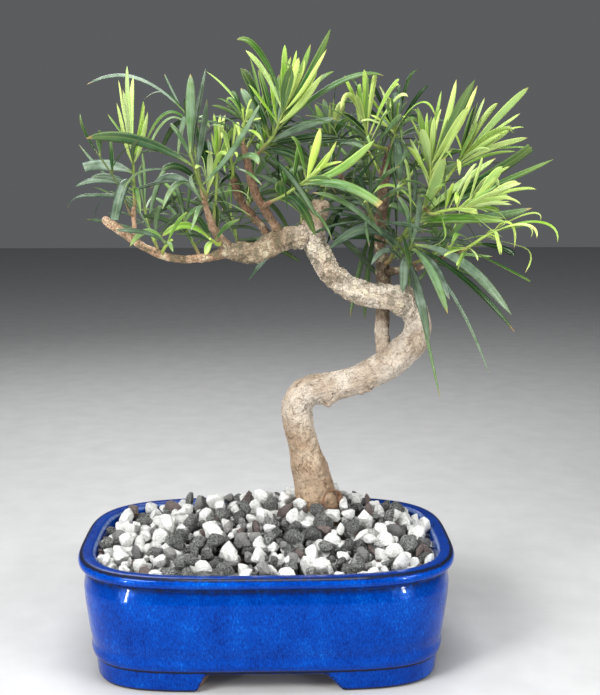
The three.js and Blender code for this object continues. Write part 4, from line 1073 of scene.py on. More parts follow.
wood_points = points_of(wood)
grain, girth, branch = wood_places(wood_points)
bulge = np.zeros(len(wood_points))
for x, y, z, width, height in BULGES:
    gap = np.linalg.norm(wood_points - [x, y, z], axis=1)
    bulge = np.maximum(bulge, height * np.exp(-((gap / width) ** 2)))
wood_x, wood_z = wood_points[:, 0], wood_points[:, 2]
on_right = np.isin(branch, RIGHT_WOOD)
limb_end = np.linalg.norm(wood_points - wood_lines["limb_left"][-1, :3], axis=1)

paint(wood, "grain", grain / 1000, "FLOAT_VECTOR")
paint(wood, "girth", girth)
paint(wood, "bulge", bulge / 1000)
paint(wood, "height", wood_z)
paint(wood, "limb", np.maximum.reduce([
    fade(wood_x, 22, 6) * (wood_z > 200), fade(wood_z, 178, 204) * on_right,
    STUB_GREY * fade(wood_z, 240, 248) * (branch == BRANCHES.index("trunk"))]))
paint(wood, "cut", np.exp(-((limb_end / CUT_END) ** 2)))
# painted shade: the right limb and its twigs darken above 186 mm, where they lie inside the crown
paint(wood, "inner", fade(wood_z, 186, 212) * on_right)
paint(wood, "tan", fade(wood_x, -22, -36))
print("branches matched:", len(set(branch)))

# %% Relief of the bark as a geometry tree
RUGGED_HEIGHTS = (170, 225)  # the bark grows rougher from the one height to the other
RUGGED_SHARES = (0.7, 1.7)
TWIG_RELIEF = 0.2  # share of the full relief for each millimetre of radius


def make_bark_tree():
    tree, source, result = geometry_tree(
        "bark_relief", Lumps=("Float", 0.001), Ridges=("Float", 0.0004),
        Finish=("Material", None))
    grain_place = attribute(tree, "grain", "FLOAT_VECTOR")

    def relief(scale, frequency, detail, rough, size):
        spot = add(tree, "ShaderNodeVectorMath", {0: grain_place, 1: scale},
                   operation="MULTIPLY").outputs[0]
        value = noise(spot, frequency, detail=detail, roughness=rough)
        return times(maths("SUBTRACT", value, 0.5), size)

    lumps = relief((0.7, 1, 1), 120, 2, 0.5, source["Lumps"])
    ridges = relief((0.35, 1, 1), 560, 4, 0.65, source["Ridges"])
    flakes = relief((1.2, 0.7, 0.7), 400, 4, 0.7, source["Ridges"])
    rugged = add(tree, "ShaderNodeMapRange", {
        "Value": attribute(tree, "height"),
        "From Min": RUGGED_HEIGHTS[0], "From Max": RUGGED_HEIGHTS[1],
        "To Min": RUGGED_SHARES[0], "To Max": RUGGED_SHARES[1]}).outputs[0]
    girth_share = maths("MINIMUM", times(attribute(tree, "girth"), TWIG_RELIEF), 1.0)
    total = times(plus(plus(lumps, ridges), flakes), rugged)
    total = plus(times(total, girth_share), attribute(tree, "bulge"))
    normal = add(tree, "GeometryNodeInputNormal").outputs[0]
    offset = add(tree, "ShaderNodeVectorMath", {0: normal, "Scale": total}, operation="SCALE")
    moved = add(tree, "GeometryNodeSetPosition", {
        "Geometry": source["Geometry"], "Offset": offset.outputs[0]})
    end_tree(moved.outputs[0], source["Finish"], result)
    return tree


print("bark tree described")

# %% [markdown]
# The trunk is a warm grey-tan, darker low down, and its limbs are greyer. Where it loops
# over, pale cream lichen and dark moss lie in blotches. Thin twigs are dark red-brown inside
# the crown and tan at the left end, and the left limb ends in a pale cut. The right limb and
# its twigs are painted darker above about 190 mm, as painted shade inside the crown. Fine
# cracks and flakes are left to the bump, which reads the same grain as the relief.

# %% Bark material
def make_bark():
    material, tree, shader = new_material("bark", Roughness=0.88)
    grain_place = read(tree, "grain", "Vector")
    fibre = noise(stretched(grain_place, (0.22, 1, 1)), 900, detail=5, roughness=0.65)
    grit = noise(stretched(grain_place, (0.8, 1, 1)), 1100, detail=4, roughness=0.7)
    flake = noise(stretched(grain_place, (1, 0.7, 0.7)), 420, detail=6, roughness=0.7)
    blotch = noise(own_place(tree), 150, detail=7, roughness=0.75)
    high = times(read(tree, "height"), 0.004)

    wide = ramp(noise(grain_place, 70, detail=3), [(0.36, 0.0), (0.60, 1.0)])
    old = blend(wide, (0.36, 0.28, 0.205), (0.54, 0.47, 0.385))
    old = tinted(old, ramp(flake, [(0.30, 0.45), (0.44, 0.86), (0.56, 1.0), (0.72, 1.14)]), 0.8)
    old = tinted(old, ramp(grit, [(0.32, 0.55), (0.48, 0.98), (0.7, 1.16)]), 0.7)
    old = tinted(old, ramp(fibre, [(0.32, 0.5), (0.46, 0.95), (0.72, 1.1)]), 0.5)
    old = tinted(old, ramp(high, [
        (0.29, (0.42, 0.30, 0.20)), (0.34, (0.70, 0.58, 0.46)),
        (0.47, (0.94, 0.86, 0.76)), (0.56, (1, 1, 1))]))
    old = blend(read(tree, "limb"), old, tinted(old, (0.60, 0.52, 0.42)))

    dark_twig = blend(flake, (0.085, 0.040, 0.022), (0.31, 0.17, 0.095))
    tan_twig = blend(flake, (0.21, 0.105, 0.055), (0.58, 0.385, 0.24))
    young = blend(read(tree, "tan"), dark_twig, tan_twig)
    young = tinted(young, ramp(fibre, [(0.35, 0.45), (0.6, 1.15)]), 0.6)
    thin = ramp(times(read(tree, "girth"), 0.1), [(0.25, 1.0), (0.46, 0.0)])
    colour = blend(thin, old, young)
    # painted shade inside the crown, on the right limb and its twigs
    colour = blend(times(read(tree, "inner"), 0.6), colour, (0.085, 0.048, 0.030))

    grown_over = ramp(high, [(0.62, 0.0), (0.74, 0.3), (0.84, 0.9), (0.93, 1.0), (0.99, 0.4)])
    lichen = times(grown_over, ramp(blotch, [(0.52, 0.0), (0.60, 1.0)]))
    colour = blend(times(lichen, 0.6), colour, (0.62, 0.58, 0.40))
    moss = times(grown_over, ramp(blotch, [(0.44, 1.0), (0.49, 0.0)]))
    colour = blend(times(moss, 0.8), colour, (0.095, 0.086, 0.045))

    drift = add(tree, "ShaderNodeTexNoise", {"Vector": grain_place, "Scale": 260})
    warped = add(tree, "ShaderNodeVectorMath", {
        0: drift.outputs["Color"], 1: (0.006,) * 3, 2: stretched(grain_place, (0.6, 1, 1))},
        operation="MULTIPLY_ADD")
    cells = add(tree, "ShaderNodeTexVoronoi", {"Vector": warped.outputs[0], "Scale": 150},
                feature="DISTANCE_TO_EDGE")
    crack = maths("MAXIMUM", ramp(cells.outputs["Distance"], [(0.0, 0.0), (0.05, 1.0)]),
                  ramp(blotch, [(0.50, 1.0), (0.58, 0.0)]))
    colour = tinted(colour, blend(crack, (0.48, 0.38, 0.31), (1, 1, 1)))
    pale_cut = times(read(tree, "cut"), ramp(grit, [(0.4, 0.2), (0.55, 0.9)]))
    feed(shader, "Base Color", blend(pale_cut, colour, (0.56, 0.44, 0.33)))

    relief = plus(times(fibre, 0.8), times(flake, 1.0))
    relief = plus(relief, times(grit, 0.5))
    bump(shader, plus(relief, times(crack, 0.35)), 0.9, 0.0012)
    return material


run_tree(wood, make_bark_tree(), Lumps=0.0030, Ridges=0.0019, Finish=make_bark())
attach(wood, "root")
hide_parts("trunk")
print("bark", triangles(wood), "triangles")

# %% [markdown]
# ## Shoots and their leaves
#
# The crown is made of shoots: a thin stem with strap leaves set in a spiral, long ones low
# and short ones round the tip. The leaves that stand out in the photo are listed one by one,
# each with its tip, width, arch and tone. The rest follow the rule of the species: a turn of
# 137.5 degrees from one leaf to the next, level at the foot and steep at the tip. A leaf
# that would cross another is turned or shortened until it has room, as a real one grows.

# %% The shoots. Stems run from foot to tip; rule is leaf count, longest, shortest, tone
# A leaf is its place on the stem, tip x y z, width, rise of its arch, how far its blade
# faces the front, tone from 0 dark to 1 lime, and 1 if its tip was clipped. A tone below 0
# marks a leaf with grey dust and a painted sheen, which faces the front more than its row says.
Shoot = namedtuple("Shoot", "stem rule leaves", defaults=[()])
SHOOTS = {
    "left_tip": Shoot(
        stem=[(-71, -4, 255), (-71, -5, 265), (-71, -6, 276), (-71, -6, 285)],
        rule=(3, 46, 30, 0.25), leaves=[
            (1, -73, -8, 328, 4, 2, 0.8, 0.95), (1, -71, -3, 323, 4.3, 0, 0.9, 1),
            (0.96, -74, -13, 316, 4, -2, 0.8, 0.95), (0.96, -66, 1, 310, 4.3, -2, 0.9, 0.85),
            (0.9, -62, -12, 304, 4, -3, 0.7, 0.95), (0.9, -77, -15, 308, 3.4, -3, 0.5, 1),
            (0.55, -96, -16, 275, 5.6, 3, 1, -0.4, 1), (0.4, -93, -10, 270, 4.3, 2, 0.6, 0.2),
            (0.35, -103, -1, 265, 3.9, 4, 0.4, -0.2), (0.5, -79, -17, 247, 5.2, 8, 0.9, -0.2, 1),
            (0.35, -67, -18, 251, 3.4, 8, 0.4, 0.6), (0.4, -102, 2, 287, 2.9, -3, 0.1, 0.2),
        ]),
    "left_low": Shoot(
        stem=[(-73, -7.5, 250), (-77, -13, 263), (-83, -19, 275), (-88, -22, 283)],
        rule=(2, 34, 24, 0.05), leaves=[
            (0.9, -86, -28, 293, 4.3, 3, 0.6, 0.45), (0.6, -82, -14, 291, 3.4, 0, 0.3, 0.3),
        ]),
    "left_crown": Shoot(
        stem=[(-35, 4, 261), (-37, 8, 274), (-40, 11, 290), (-43, 13, 304)],
        rule=(3, 48, 40, 0.15), leaves=[
            (1, -98, 16, 320, 3.1, 12, 0.1, -0.3), (1, -68, 20, 312, 3.4, 8, 0.2, 0.2),
            (0.96, -66, 2, 286, 4.3, 12, 0.5, 0.55), (0.97, -65, 13, 285, 3.9, 10, 0.4, 0.75),
            (0.95, -47, -2, 280, 4.3, 14, 0.6, 0.35), (0.97, -30, 7, 296, 3.9, 8, 0.4, 0.5),
            (0.9, -59, 22, 282, 4.3, 6, 0.4, 0.1), (0.8, -44, 24, 314, 3.9, -2, 0.5, 0.3),
        ]),
    "left_front": Shoot(
        stem=[(-32, -3, 260), (-36, -8, 268), (-38, -12, 276), (-40, -14, 283)],
        rule=(3, 46, 36, 0.2), leaves=[
            (1, -39, -16, 324, 5.4, 0, 1, 0.25), (0.9, -32, -8, 327, 3.9, -3, 0.5, 0.1),
            (0.75, -92, -26, 290, 6, 5, 1, 0.2), (0.7, -31, -3, 311, 4.3, -4, 0.7, 0.1),
            (0.4, -1, -16, 310, 4, -4, 0.8, 0.2), (0.55, -54, -30, 274, 5.2, 4, 0.8, 0.1),
        ]),
    "left_young": Shoot(
        stem=[(-33, 3, 254), (-33, 2, 258), (-31, 2, 264)],
        rule=(2, 40, 26, 0.6), leaves=[
            (1, -30, -2, 284, 4, 0, 0.8, 0.95), (1, -27, -10, 279, 3.1, -2, 0.5, 1),
            (0.9, -20, -12, 279, 3.1, 10, 0.4, 0.95), (1, -36, -12, 273, 3.4, 6, 0.6, 0.8),
            (0.3, -66, -9, 261, 5.2, 10, 0.6, 0), (0.2, -53, -14, 252, 4.3, 13, 0.3, 0.4),
            (0.25, -44, -2, 249, 4.3, 13, 0.3, 0.3), (0.05, -46, -8, 243, 3.4, 2, 0.5, 0.35),
        ]),
    "left_lime": Shoot(
        stem=[(-29, 5, 243), (-28, 9, 254), (-27, 12, 268), (-27, 12, 282)],
        rule=(3, 44, 34, 0.3), leaves=[
            (1, -28, 7, 304, 3.6, -1, 0.6, 0.95), (1, -25, 13, 304, 3.4, 0, 0.8, 0.9),
            (1, -22, 18, 304, 3.4, 2, 0.6, 0.8), (0.9, -18, 6, 297, 3.4, 3, 0.6, 0.7),
            (0.45, -26, 0, 239, 3.4, 6, 0.3, 0.45), (0.8, -38, 18, 300, 5.2, -1, 0.9, 0.05),
            (0.7, -33, 22, 291, 4.3, 0, 0.6, 0),
        ]),
    "left_curl": Shoot(
        stem=[(-18, 11, 270), (-18, 8, 275), (-19, 4, 280)],
        rule=(2, 40, 28, 0.5), leaves=[
            (1, -22, 0, 296, 3.4, -3, 0.6, 0.95), (1, -12, 6, 300, 3.4, -3, 0.6, 0.9),
            (1, -23, -7, 288, 3.4, 8, 0.5, 1), (1, -14, -9, 289, 3.9, 12, 0.6, 1),
            (0.8, -4, -5, 275, 5.2, 5, 0.6, 0.3), (0.6, -32, -2, 270, 4.3, 4, 0.5, 0.2),
        ]),
    "mid": Shoot(
        stem=[(-12, 5, 290), (-12, 4, 295), (-11, 2, 300)],
        rule=(2, 44, 30, 0.4), leaves=[
            (1, -21, 4, 310, 3.1, 5, 0.3, 0.75), (1, -7, -5, 306, 3.9, 0, 0.6, 0.85),
            (0.9, -18, 12, 316, 3.4, 3, 0.4, 0.3), (0.6, -2, -8, 289, 3.4, 3, 0.4, 0.9),
        ]),
    "apex": Shoot(
        stem=[(-3, 0, 283), (0, -3, 287), (4, -5, 291), (8, -8, 300), (11, -10, 307)],
        rule=(3, 48, 42, 0.25), leaves=[
            (1, -15, -14, 342, 4.3, 9, 0.7, 0.35), (0.95, -9, -21, 336, 3.4, 2, 0.8, 0.95),
            (1, 11, -8, 340, 4, 0, 1, 0.8), (1, 18, -17, 332, 4.6, 0, 1, 0.95),
            (1, 25, -4, 341, 4, -3, 0.8, 0.5), (0.95, 34, -11, 346, 4.8, -3, 0.9, 0.4),
            (0.92, 32, -22, 336, 3.4, -4, 0.7, 0.95), (0.75, 30, -28, 322, 4, -3, 0.8, 0.95),
            (0.5, -13, 5, 328, 5.2, 4, 0.9, 0.2), (0.35, -13, -14, 316, 5.6, 2, 1, 0.2),
            (0.75, -3, 3, 328, 2.6, -3, 0.2, 0.6), (0.7, -32, 12, 330, 2.9, -2, 0.2, 0.8),
            (0.6, 67, 6, 326, 4.3, 9, 0.6, 0.3), (0.4, 38, 2, 302, 5.2, 1, 0.7, 0.1),
            (0.3, 41, 12, 291, 5.2, 2, 0.7, 0.1), (0.08, 24, -7, 274, 5.6, 4, 0.8, 0.2),
            (0.7, 8, 7, 325, 4.3, 0, 0.6, 0.3), (0.2, 1, -16, 297, 4.3, 1, 1, 0.75),
            (0.3, 20, 20, 312, 5.2, 0, 0.7, 0.15),
        ]),
    "fore": Shoot(
        stem=[(4, -3, 257), (10, -7, 260), (17, -12, 265), (24, -16, 270)],
        rule=(3, 46, 36, 0.3), leaves=[
            (0.9, 14, -22, 291, 3.4, 5, 0.5, 0.6), (0.97, 29, -17, 296, 5.6, -2, 1, 0.95),
            (1, 38, -23, 289, 3.4, -4, 0.6, 0.95), (1, 57, -28, 289, 5.6, -4, 0.9, 0.75),
            (0.92, 60, -32, 256, 5.6, 4, 0.9, 0.4, 1), (0.55, 27, -17, 239, 5.2, 6, 0.8, 0.2),
            (0.3, 7, -12, 268, 6, 0, 1, 0.4), (0.35, 13, -4, 276, 4.3, 3, 0.6, 0.6),
            (0.15, 18, -12, 251, 2.9, 3, 0.2, 0.5),
        ]),
    "centre": Shoot(
        stem=[(69, 16, 285), (64, 13, 286), (58, 9, 289), (55, 5, 296)],
        rule=(3, 46, 34, 0.35), leaves=[
            (1, 44, 2, 325, 3.1, -2, 0.3, 0.8), (1, 54, -1, 327, 4.3, 0, 0.9, 0.9),
            (1, 61, 8, 326, 4, 3, 0.7, 0.9), (0.95, 72, -5, 322, 3.4, 3, 0.5, 0.9),
            (0.95, 73, 5, 319, 3.4, 6, 0.6, 0.85), (0.9, 76, -9, 313, 3.4, 6, 0.3, 0.8),
            (0.95, 51, 11, 320, 3.4, 4, 0.6, 0.8), (1, 49, -8, 313, 4, 2, 0.5, 0.85),
            (0.9, 40, -12, 306, 4.3, 12, 0.7, 1),
        ]),
    "crown": Shoot(
        stem=[(71, 14, 288), (72, 12, 292), (72, 10, 296)],
        rule=(3, 46, 38, 0.3), leaves=[
            (1, 72, 6, 316, 5.7, 0, 1, -0.2), (0.6, 73, -4, 266, 5.7, 6, 1, 0.05),
            (1, 93, 2, 303, 2.2, 10, 0.1, 0.7), (1, 84, 9, 299, 3.4, 4, 0.5, 0.4),
            (0.8, 63, 20, 302, 4.3, 2, 0.5, 0.3),
        ]),
    "inner": Shoot(
        stem=[(38, 24, 283), (37, 22, 287), (36, 20, 293)],
        rule=(3, 48, 38, 0.2), leaves=[
            (1, 33, 18, 313, 4.8, 0, 1, 0.15), (1, 28, 25, 310, 4.3, -1, 0.9, 0.5),
            (1, 38, 12, 313, 2.6, -2, 0.2, 0.85), (1, 44, 9, 310, 5.2, 4, 1, 1),
            (0.8, 47, 16, 301, 4.3, 3, 0.8, 0.3),
        ]),
    "right": Shoot(
        stem=[(71, 26, 221), (75, 18, 231), (81, 10, 243), (88, 3, 253)],
        rule=(3, 50, 44, 0.15), leaves=[
            (0.97, 94, -12, 279, 6, -1, 1, 0.8), (0.95, 52, -7, 255, 2.6, 12, 0.3, 0.85),
            (0.97, 157, -4, 279, 4.3, -3, 0.3, 0.4), (0.97, 145, -8, 253, 6, -5, 0.8, 0.25),
            (0.9, 129, -16, 246, 6, 1, 0.8, 0.6), (0.92, 124, -11, 280, 4.3, 2, 0.7, 0.85),
            (0.95, 147, 9, 286, 6, -3, 0.7, 0.25, 1), (0.75, 68, -3, 254, 4.3, 4, 0.6, 0.2),
            (0.8, 77, 4, 281, 3.1, 6, 0.3, 0.8),
        ]),
    "right_up": Shoot(
        stem=[(89, 4, 256), (91, 5, 263), (91, 5, 270), (91, 4, 277)],
        rule=(3, 46, 36, 0.5), leaves=[
            (1, 84, 8, 308, 4.3, -1, 0.8, 0.7), (1, 92, 0, 302, 4.3, 0, 0.9, 0.98),
            (0.9, 83, -7, 296, 5.2, 3, 0.9, 0.9), (0.7, 76, -9, 286, 3.4, 3, 0.5, 0.95),
            (1, 105, 6, 324, 4, -1, 0.8, 0.8), (0.9, 112, -8, 322, 6, -1, 1, 0.3),
            (0.95, 118, 12, 319, 4, -2, 0.8, 0.95), (1, 108, -2, 306, 4.8, 0, 0.9, 0.85),
        ]),
    "right_fan": Shoot(
        stem=[(91, 8, 257), (99, 11, 265), (106, 13, 275), (113, 13, 284)],
        rule=(3, 44, 34, 0.6), leaves=[
            (1, 128, 8, 310, 4, 2, 0.7, 0.95), (1, 143, 3, 318, 4.8, 1, 0.8, 0.8),
            (0.9, 135, 0, 294, 3.4, 6, 0.4, 0.85), (0.9, 137, 14, 296, 4.3, 0, 0.6, 0.7),
            (0.85, 142, -6, 291, 4.3, 3, 0.6, 0.85), (1, 117, 19, 309, 4.3, 0, 0.5, 0.4),
            (0.9, 103, 2, 295, 3.4, 1, 0.6, 0.95), (0.8, 106, -6, 271, 3.4, 4, 0.5, 0.95),
        ]),
    "right_side": Shoot(
        stem=[(91, -3, 250), (99, -6, 252), (107, -8, 253), (114, -9, 254)],
        rule=(3, 40, 30, 0.75), leaves=[
            (1, 137, -8, 267, 4.8, 2, 0.8, 0.9), (1, 126, -12, 275, 5.2, 0, 0.9, 0.9),
            (0.9, 129, -16, 262, 3.1, 10, 0.3, 0.85), (0.7, 102, -20, 256, 4.3, 6, 0.8, 0.95),
            (1, 134, 3, 260, 5.2, -1, 0.8, 0.9), (0.8, 124, 6, 265, 4.3, -1, 0.8, 0.95),
        ]),
    "right_low": Shoot(
        stem=[(110, 0, 230), (114, -3, 233), (119, -6, 237), (124, -8, 240)],
        rule=(3, 38, 30, 0.75), leaves=[
            (1, 136, -14, 231, 3.4, 12, 0.7, 0.95), (1, 159, -4, 234, 3.1, 9, 0.5, 0.9),
            (1, 145, -15, 237, 3.9, 7, 0.6, 0.9), (0.9, 126, -19, 229, 4.3, 9, 0.8, 0.95),
            (0.6, 137, -1, 227, 4.3, 2, 0.5, 0, 1), (0.3, 148, 4, 211, 2.6, 1, 0.1, 0.4),
            (0.1, 98, 9, 225, 5.2, 2, 0.9, 0.85), (0.1, 106, 13, 222, 4.3, 0, 0.7, 0.8),
        ]),
    "droop": Shoot(
        stem=[(79, 23, 218), (80, 16, 225), (81, 8, 230), (83, 0, 233)],
        rule=(3, 52, 46, 0.1), leaves=[
            (1, 136, -16, 195, 6, 8, 0.9, 0.3), (0.95, 140, -6, 184, 3.9, 6, 0.3, 0.1),
            (0.9, 99, -19, 197, 5.2, 3, 0.8, 0.3), (0.85, 102, -9, 203, 5.2, 4, 0.8, -0.2),
            (1, 127, -2, 159, 2.9, 9, 0.1, 0.3), (0.6, 90, -13, 180, 5.6, 5, 0.9, 0.1),
            (0.5, 97, -9, 147, 2.6, 6, 0.1, 0.3), (0.4, 75, -8, 207, 5.6, 4, 0.9, 0.05),
            (0.5, 34, -8, 231, 5.2, 12, 0.6, -0.1), (0.35, 26, -13, 261, 4.3, 6, 0.5, 0.25),
            (0.3, 58, -2, 222, 4.3, 8, 0.5, 0.1),
        ]),
    "hang_left": Shoot(
        stem=[(-56, -6, 230), (-54, -12, 233), (-50, -18, 237)],
        rule=(1, 34, 24, 0.5), leaves=[
            (0.6, -72, -16, 233, 4, 8, 0.5, 0.65), (0.8, -79, -12, 242, 3.4, 2, 0.4, 0.1),
            (0.5, -48, -26, 231, 3.1, 4, 0.4, 0.5),
        ]),
    "hang_fore": Shoot(
        stem=[(-26, -1, 233), (-28, -6, 235), (-30, -11, 237)],
        rule=(2, 36, 26, 0.5), leaves=[
            (0.9, -57, -15, 238, 4.8, 6, 0.7, 0.6), (0.7, -33, -17, 229, 4.3, 1, 0.9, 0.7),
            (1, -40, -16, 250, 4.3, 3, 0.5, 0.2),
        ]),
    "back_tip": Shoot(
        stem=[(-60, 3, 231), (-64, 16, 237), (-68, 28, 244), (-70, 36, 253)],
        rule=(7, 50, 34, 0.35)),
    "back_left": Shoot(
        stem=[(-38, 6, 229), (-42, 20, 234), (-46, 33, 240), (-49, 43, 249)],
        rule=(7, 50, 34, 0.3)),
    "back_limb": Shoot(
        stem=[(-16, 11, 232), (-17, 28, 237), (-20, 43, 244), (-21, 54, 253)],
        rule=(7, 52, 36, 0.3), leaves=[
            (0.1, 20, 24, 221, 3.4, 3, 0.4, 0.2),
        ]),
    "back_twig": Shoot(
        stem=[(-10, 18, 252), (-10, 32, 258), (-9, 46, 265), (-7, 56, 274)],
        rule=(7, 50, 36, 0.4)),
    "back_fork": Shoot(
        stem=[(21, 18, 243), (21, 32, 250), (23, 46, 258), (26, 57, 267)],
        rule=(7, 52, 36, 0.3), leaves=[
            (0.1, -10, 30, 210, 3.9, 2, 0.6, -0.3),
        ]),
    "back_stub": Shoot(
        stem=[(30, 18, 249), (32, 28, 256), (36, 38, 265), (41, 46, 273)],
        rule=(6, 50, 38, 0.2)),
    "back_low": Shoot(
        stem=[(67, 36, 246), (66, 50, 253), (64, 64, 261), (61, 74, 270)],
        rule=(7, 52, 38, 0.25), leaves=[
            (0.1, 50, 44, 186, 3.4, 3, 0.3, 0.3), (0.15, 60, 56, 183, 3.9, 3, 0.4, 0.2),
        ]),
    "back_mid": Shoot(
        stem=[(69, 34, 257), (79, 48, 263), (87, 60, 270), (95, 70, 279)],
        rule=(7, 50, 36, 0.45)),
    "back_right": Shoot(
        stem=[(72, 36, 232), (83, 48, 234), (93, 59, 238), (103, 67, 245)],
        rule=(7, 50, 36, 0.4)),
    "back_crown": Shoot(
        stem=[(66, 28, 271), (64, 38, 277), (60, 48, 285), (56, 55, 293)],
        rule=(7, 50, 34, 0.5)),
    "back_fan": Shoot(
        stem=[(85, 24, 220), (94, 34, 222), (103, 44, 225), (112, 52, 229)],
        rule=(7, 48, 34, 0.4)),
    "front_mid": Shoot(
        stem=[(65, 24, 236), (61, 8, 243), (57, -7, 250), (54, -17, 257)],
        rule=(3, 46, 36, 0.1)),
    "back_apex": Shoot(
        stem=[(-11, 8, 284), (-8, 20, 290), (-5, 31, 296), (-1, 39, 305)],
        rule=(7, 50, 36, 0.4)),
}
print(len(SHOOTS), "shoots,", sum(len(shoot.leaves) for shoot in SHOOTS.values()), "listed leaves")

# %% Wood and leaves as beads, to keep them apart
UP = np.array([0.0, 0.0, 1.0])
FRONT = np.array([0.0, -0.98, 0.2])
BLADE_WIDTH = {  # place along the blade and share of its width, by whether its tip is clipped
    False: [(0, 0.3), (0.22, 0.84), (0.5, 1), (0.8, 0.7), (1, 0)],
    True: [(0, 0.3), (0.25, 0.85), (0.6, 1), (1, 0.86)],
}
BLADE, STEM, WOODY = 0, 1, 2  # how firm a bead is
BEAD_ROOM = 9000
BEAD_REACH = 12  # beads farther apart than this never touch
BEAD_STEP = 4.5
BEAD_LONG, BEAD_FLAT, BEAD_EDGE = 0.58, 0.7, 0.2
IN_WOOD, IN_STEM = 0.25, 0.12  # share of a leaf that may start inside wood or a stem
ROOM_WITHIN, ROOM_BETWEEN = 0.1, 0.5
Leaf = namedtuple("Leaf", "base bend tip face width tone clipped ruled", defaults=[False])


def blade_share(t, clipped):
    """Width of a blade along its length, as a share of the full width."""
    return np.interp(t, *zip(*BLADE_WIDTH[clipped]))


def leaf_points(leaf, t):
    t = t[:, None]
    return leaf.base * (1 - t) ** 2 + leaf.bend * 2 * t * (1 - t) + leaf.tip * t * t


def leaf_sides(leaf, t):
    """Direction, width side and upper side of a blade along its length."""
    along = (leaf.bend - leaf.base) * (1 - t[:, None]) + (leaf.tip - leaf.bend) * t[:, None]
    along /= np.linalg.norm(along, axis=1, keepdims=True)
    across = np.cross(along, leaf.face)
    across /= np.linalg.norm(across, axis=1, keepdims=True)
    return along, across, np.cross(across, along)


class Beads:
    """Flat balls along blades, and round ones along wood, that have to stay apart."""

    def __init__(self):
        self.count = 0
        self.at = np.zeros((BEAD_ROOM, 3))
        self.axes = np.zeros((BEAD_ROOM, 3, 3))
        self.owner = np.zeros(BEAD_ROOM, int)
        self.firm = np.zeros(BEAD_ROOM, int)

    def add(self, at, axes, owner, firm):
        rows = slice(self.count, self.count + len(at))
        self.at[rows], self.axes[rows] = at, axes
        self.owner[rows], self.firm[rows] = owner, firm
        self.count += len(at)

    def add_line(self, line, steps, owner, firm, grow):
        """Round beads along a row of (x, y, z, radius)."""
        line = np.array(line, float)
        share = (np.arange(steps) / steps)[None, :, None]
        beads = (line[:-1, None] + (line[1:] - line[:-1])[:, None] * share).reshape(-1, 4)
        radius = beads[:, 3] * grow[0] + grow[1]
        self.add(beads[:, :3], radius[:, None, None] * np.eye(3), owner, firm)

    def clear(self, at, axes, t, owner, root_share, strict):
        """Whether the beads of a new blade cross nothing."""
        low, high = at.min(0) - BEAD_REACH, at.max(0) + BEAD_REACH
        known = self.at[:self.count]
        old = np.nonzero(((known > low) & (known < high)).all(1))[0]
        if not len(old):
            return True
        step = known[old][None] - at[:, None]
        gap = np.maximum(np.linalg.norm(step, axis=2), 1e-6)
        way = step / gap[:, :, None]
        mine = np.linalg.norm(np.einsum("nij,nmj->nmi", axes, way), axis=2)
        theirs = np.linalg.norm(np.einsum("mij,nmj->nmi", self.axes[old], way), axis=2)
        same = (self.owner[old] == owner)[None, :]
        firm = self.firm[old][None, :]
        start = t[:, None]
        exempt = same & ((firm > BLADE) | (start < root_share))
        exempt |= (firm == WOODY) & (start < IN_WOOD)
        exempt |= (firm == STEM) & (start < IN_STEM)
        room = np.where(same, ROOM_WITHIN, ROOM_BETWEEN) * strict
        touch = gap < (mine + theirs) * min(1, 0.6 + 0.4 * strict) + room
        return not ((gap < BEAD_REACH) & ~exempt & touch).any()


def leaf_beads(leaf):
    """Places, axes and shares along the leaf of its beads."""
    length = 0.5 * (np.linalg.norm(leaf.base - leaf.bend) + np.linalg.norm(leaf.bend - leaf.tip)
                    + np.linalg.norm(leaf.base - leaf.tip))
    count = max(6, math.ceil(length / BEAD_STEP))
    t = (np.arange(count) + 0.5) / count
    along, across, face = leaf_sides(leaf, t)
    half = leaf.width * 0.5 * blade_share(t, leaf.clipped) + BEAD_EDGE
    axes = np.stack([along * (length / count) * BEAD_LONG, across * half[:, None],
                     face * BEAD_FLAT], axis=1)
    return leaf_points(leaf, t), axes, t


print("bead store ready, for", BEAD_ROOM, "beads")

# %% Stems and the places of leaves on them
STEM_RADIUS = (1.8, 1.2)  # at the foot and at the tip of a stem
LEAF_TURN = math.radians(137.5)
LEAF_SLOPE = (84, 24)  # degrees off the stem, at its foot and at its tip
LEAF_DROOP = (0.42, 0.04)
LENGTH_SPREAD = (0.84, 1.12)
DROOP_SPREAD = (0.4, 1.5)
WIDTH_SHARE = (0.08, 0.108)  # width of a leaf of the rule, as a share of its length
SPIN_SPREAD, SLOPE_SPREAD, ROLL_SPREAD = 0.6, 22, 1.3
TRY_ASIDE, TRY_SHORTER = 0.42, 0.96
SAME_PLACE_STEP = 0.045


def stem_at(stem, u):
    place = u * (len(stem) - 1)
    i = min(int(place), len(stem) - 2)
    return stem[i] + (stem[i + 1] - stem[i]) * (place - i)


def stem_axis(stem, u):
    return unit(stem_at(stem, min(u + 0.2, 1)) - stem_at(stem, max(u - 0.2, 0)))


def leaf_root(stem, u, tip):
    """Point inside the stem where a leaf starts, on the side of its tip."""
    base, axis = stem_at(stem, u), stem_axis(stem, u)
    out = tip - base
    out = unit(out - axis * np.dot(out, axis))
    return base + out * 0.2 * mix(*STEM_RADIUS, u)


def upper_face(axis, chord):
    """Blade normal of a leaf on a stem: its upper face looks to the stem's tip."""
    cos = np.dot(chord, axis)
    out = chord - axis * cos
    out = unit(FRONT if np.linalg.norm(out) < 0.05 else out)
    return unit(axis * math.sqrt(max(0, 1 - cos * cos)) - out * cos)


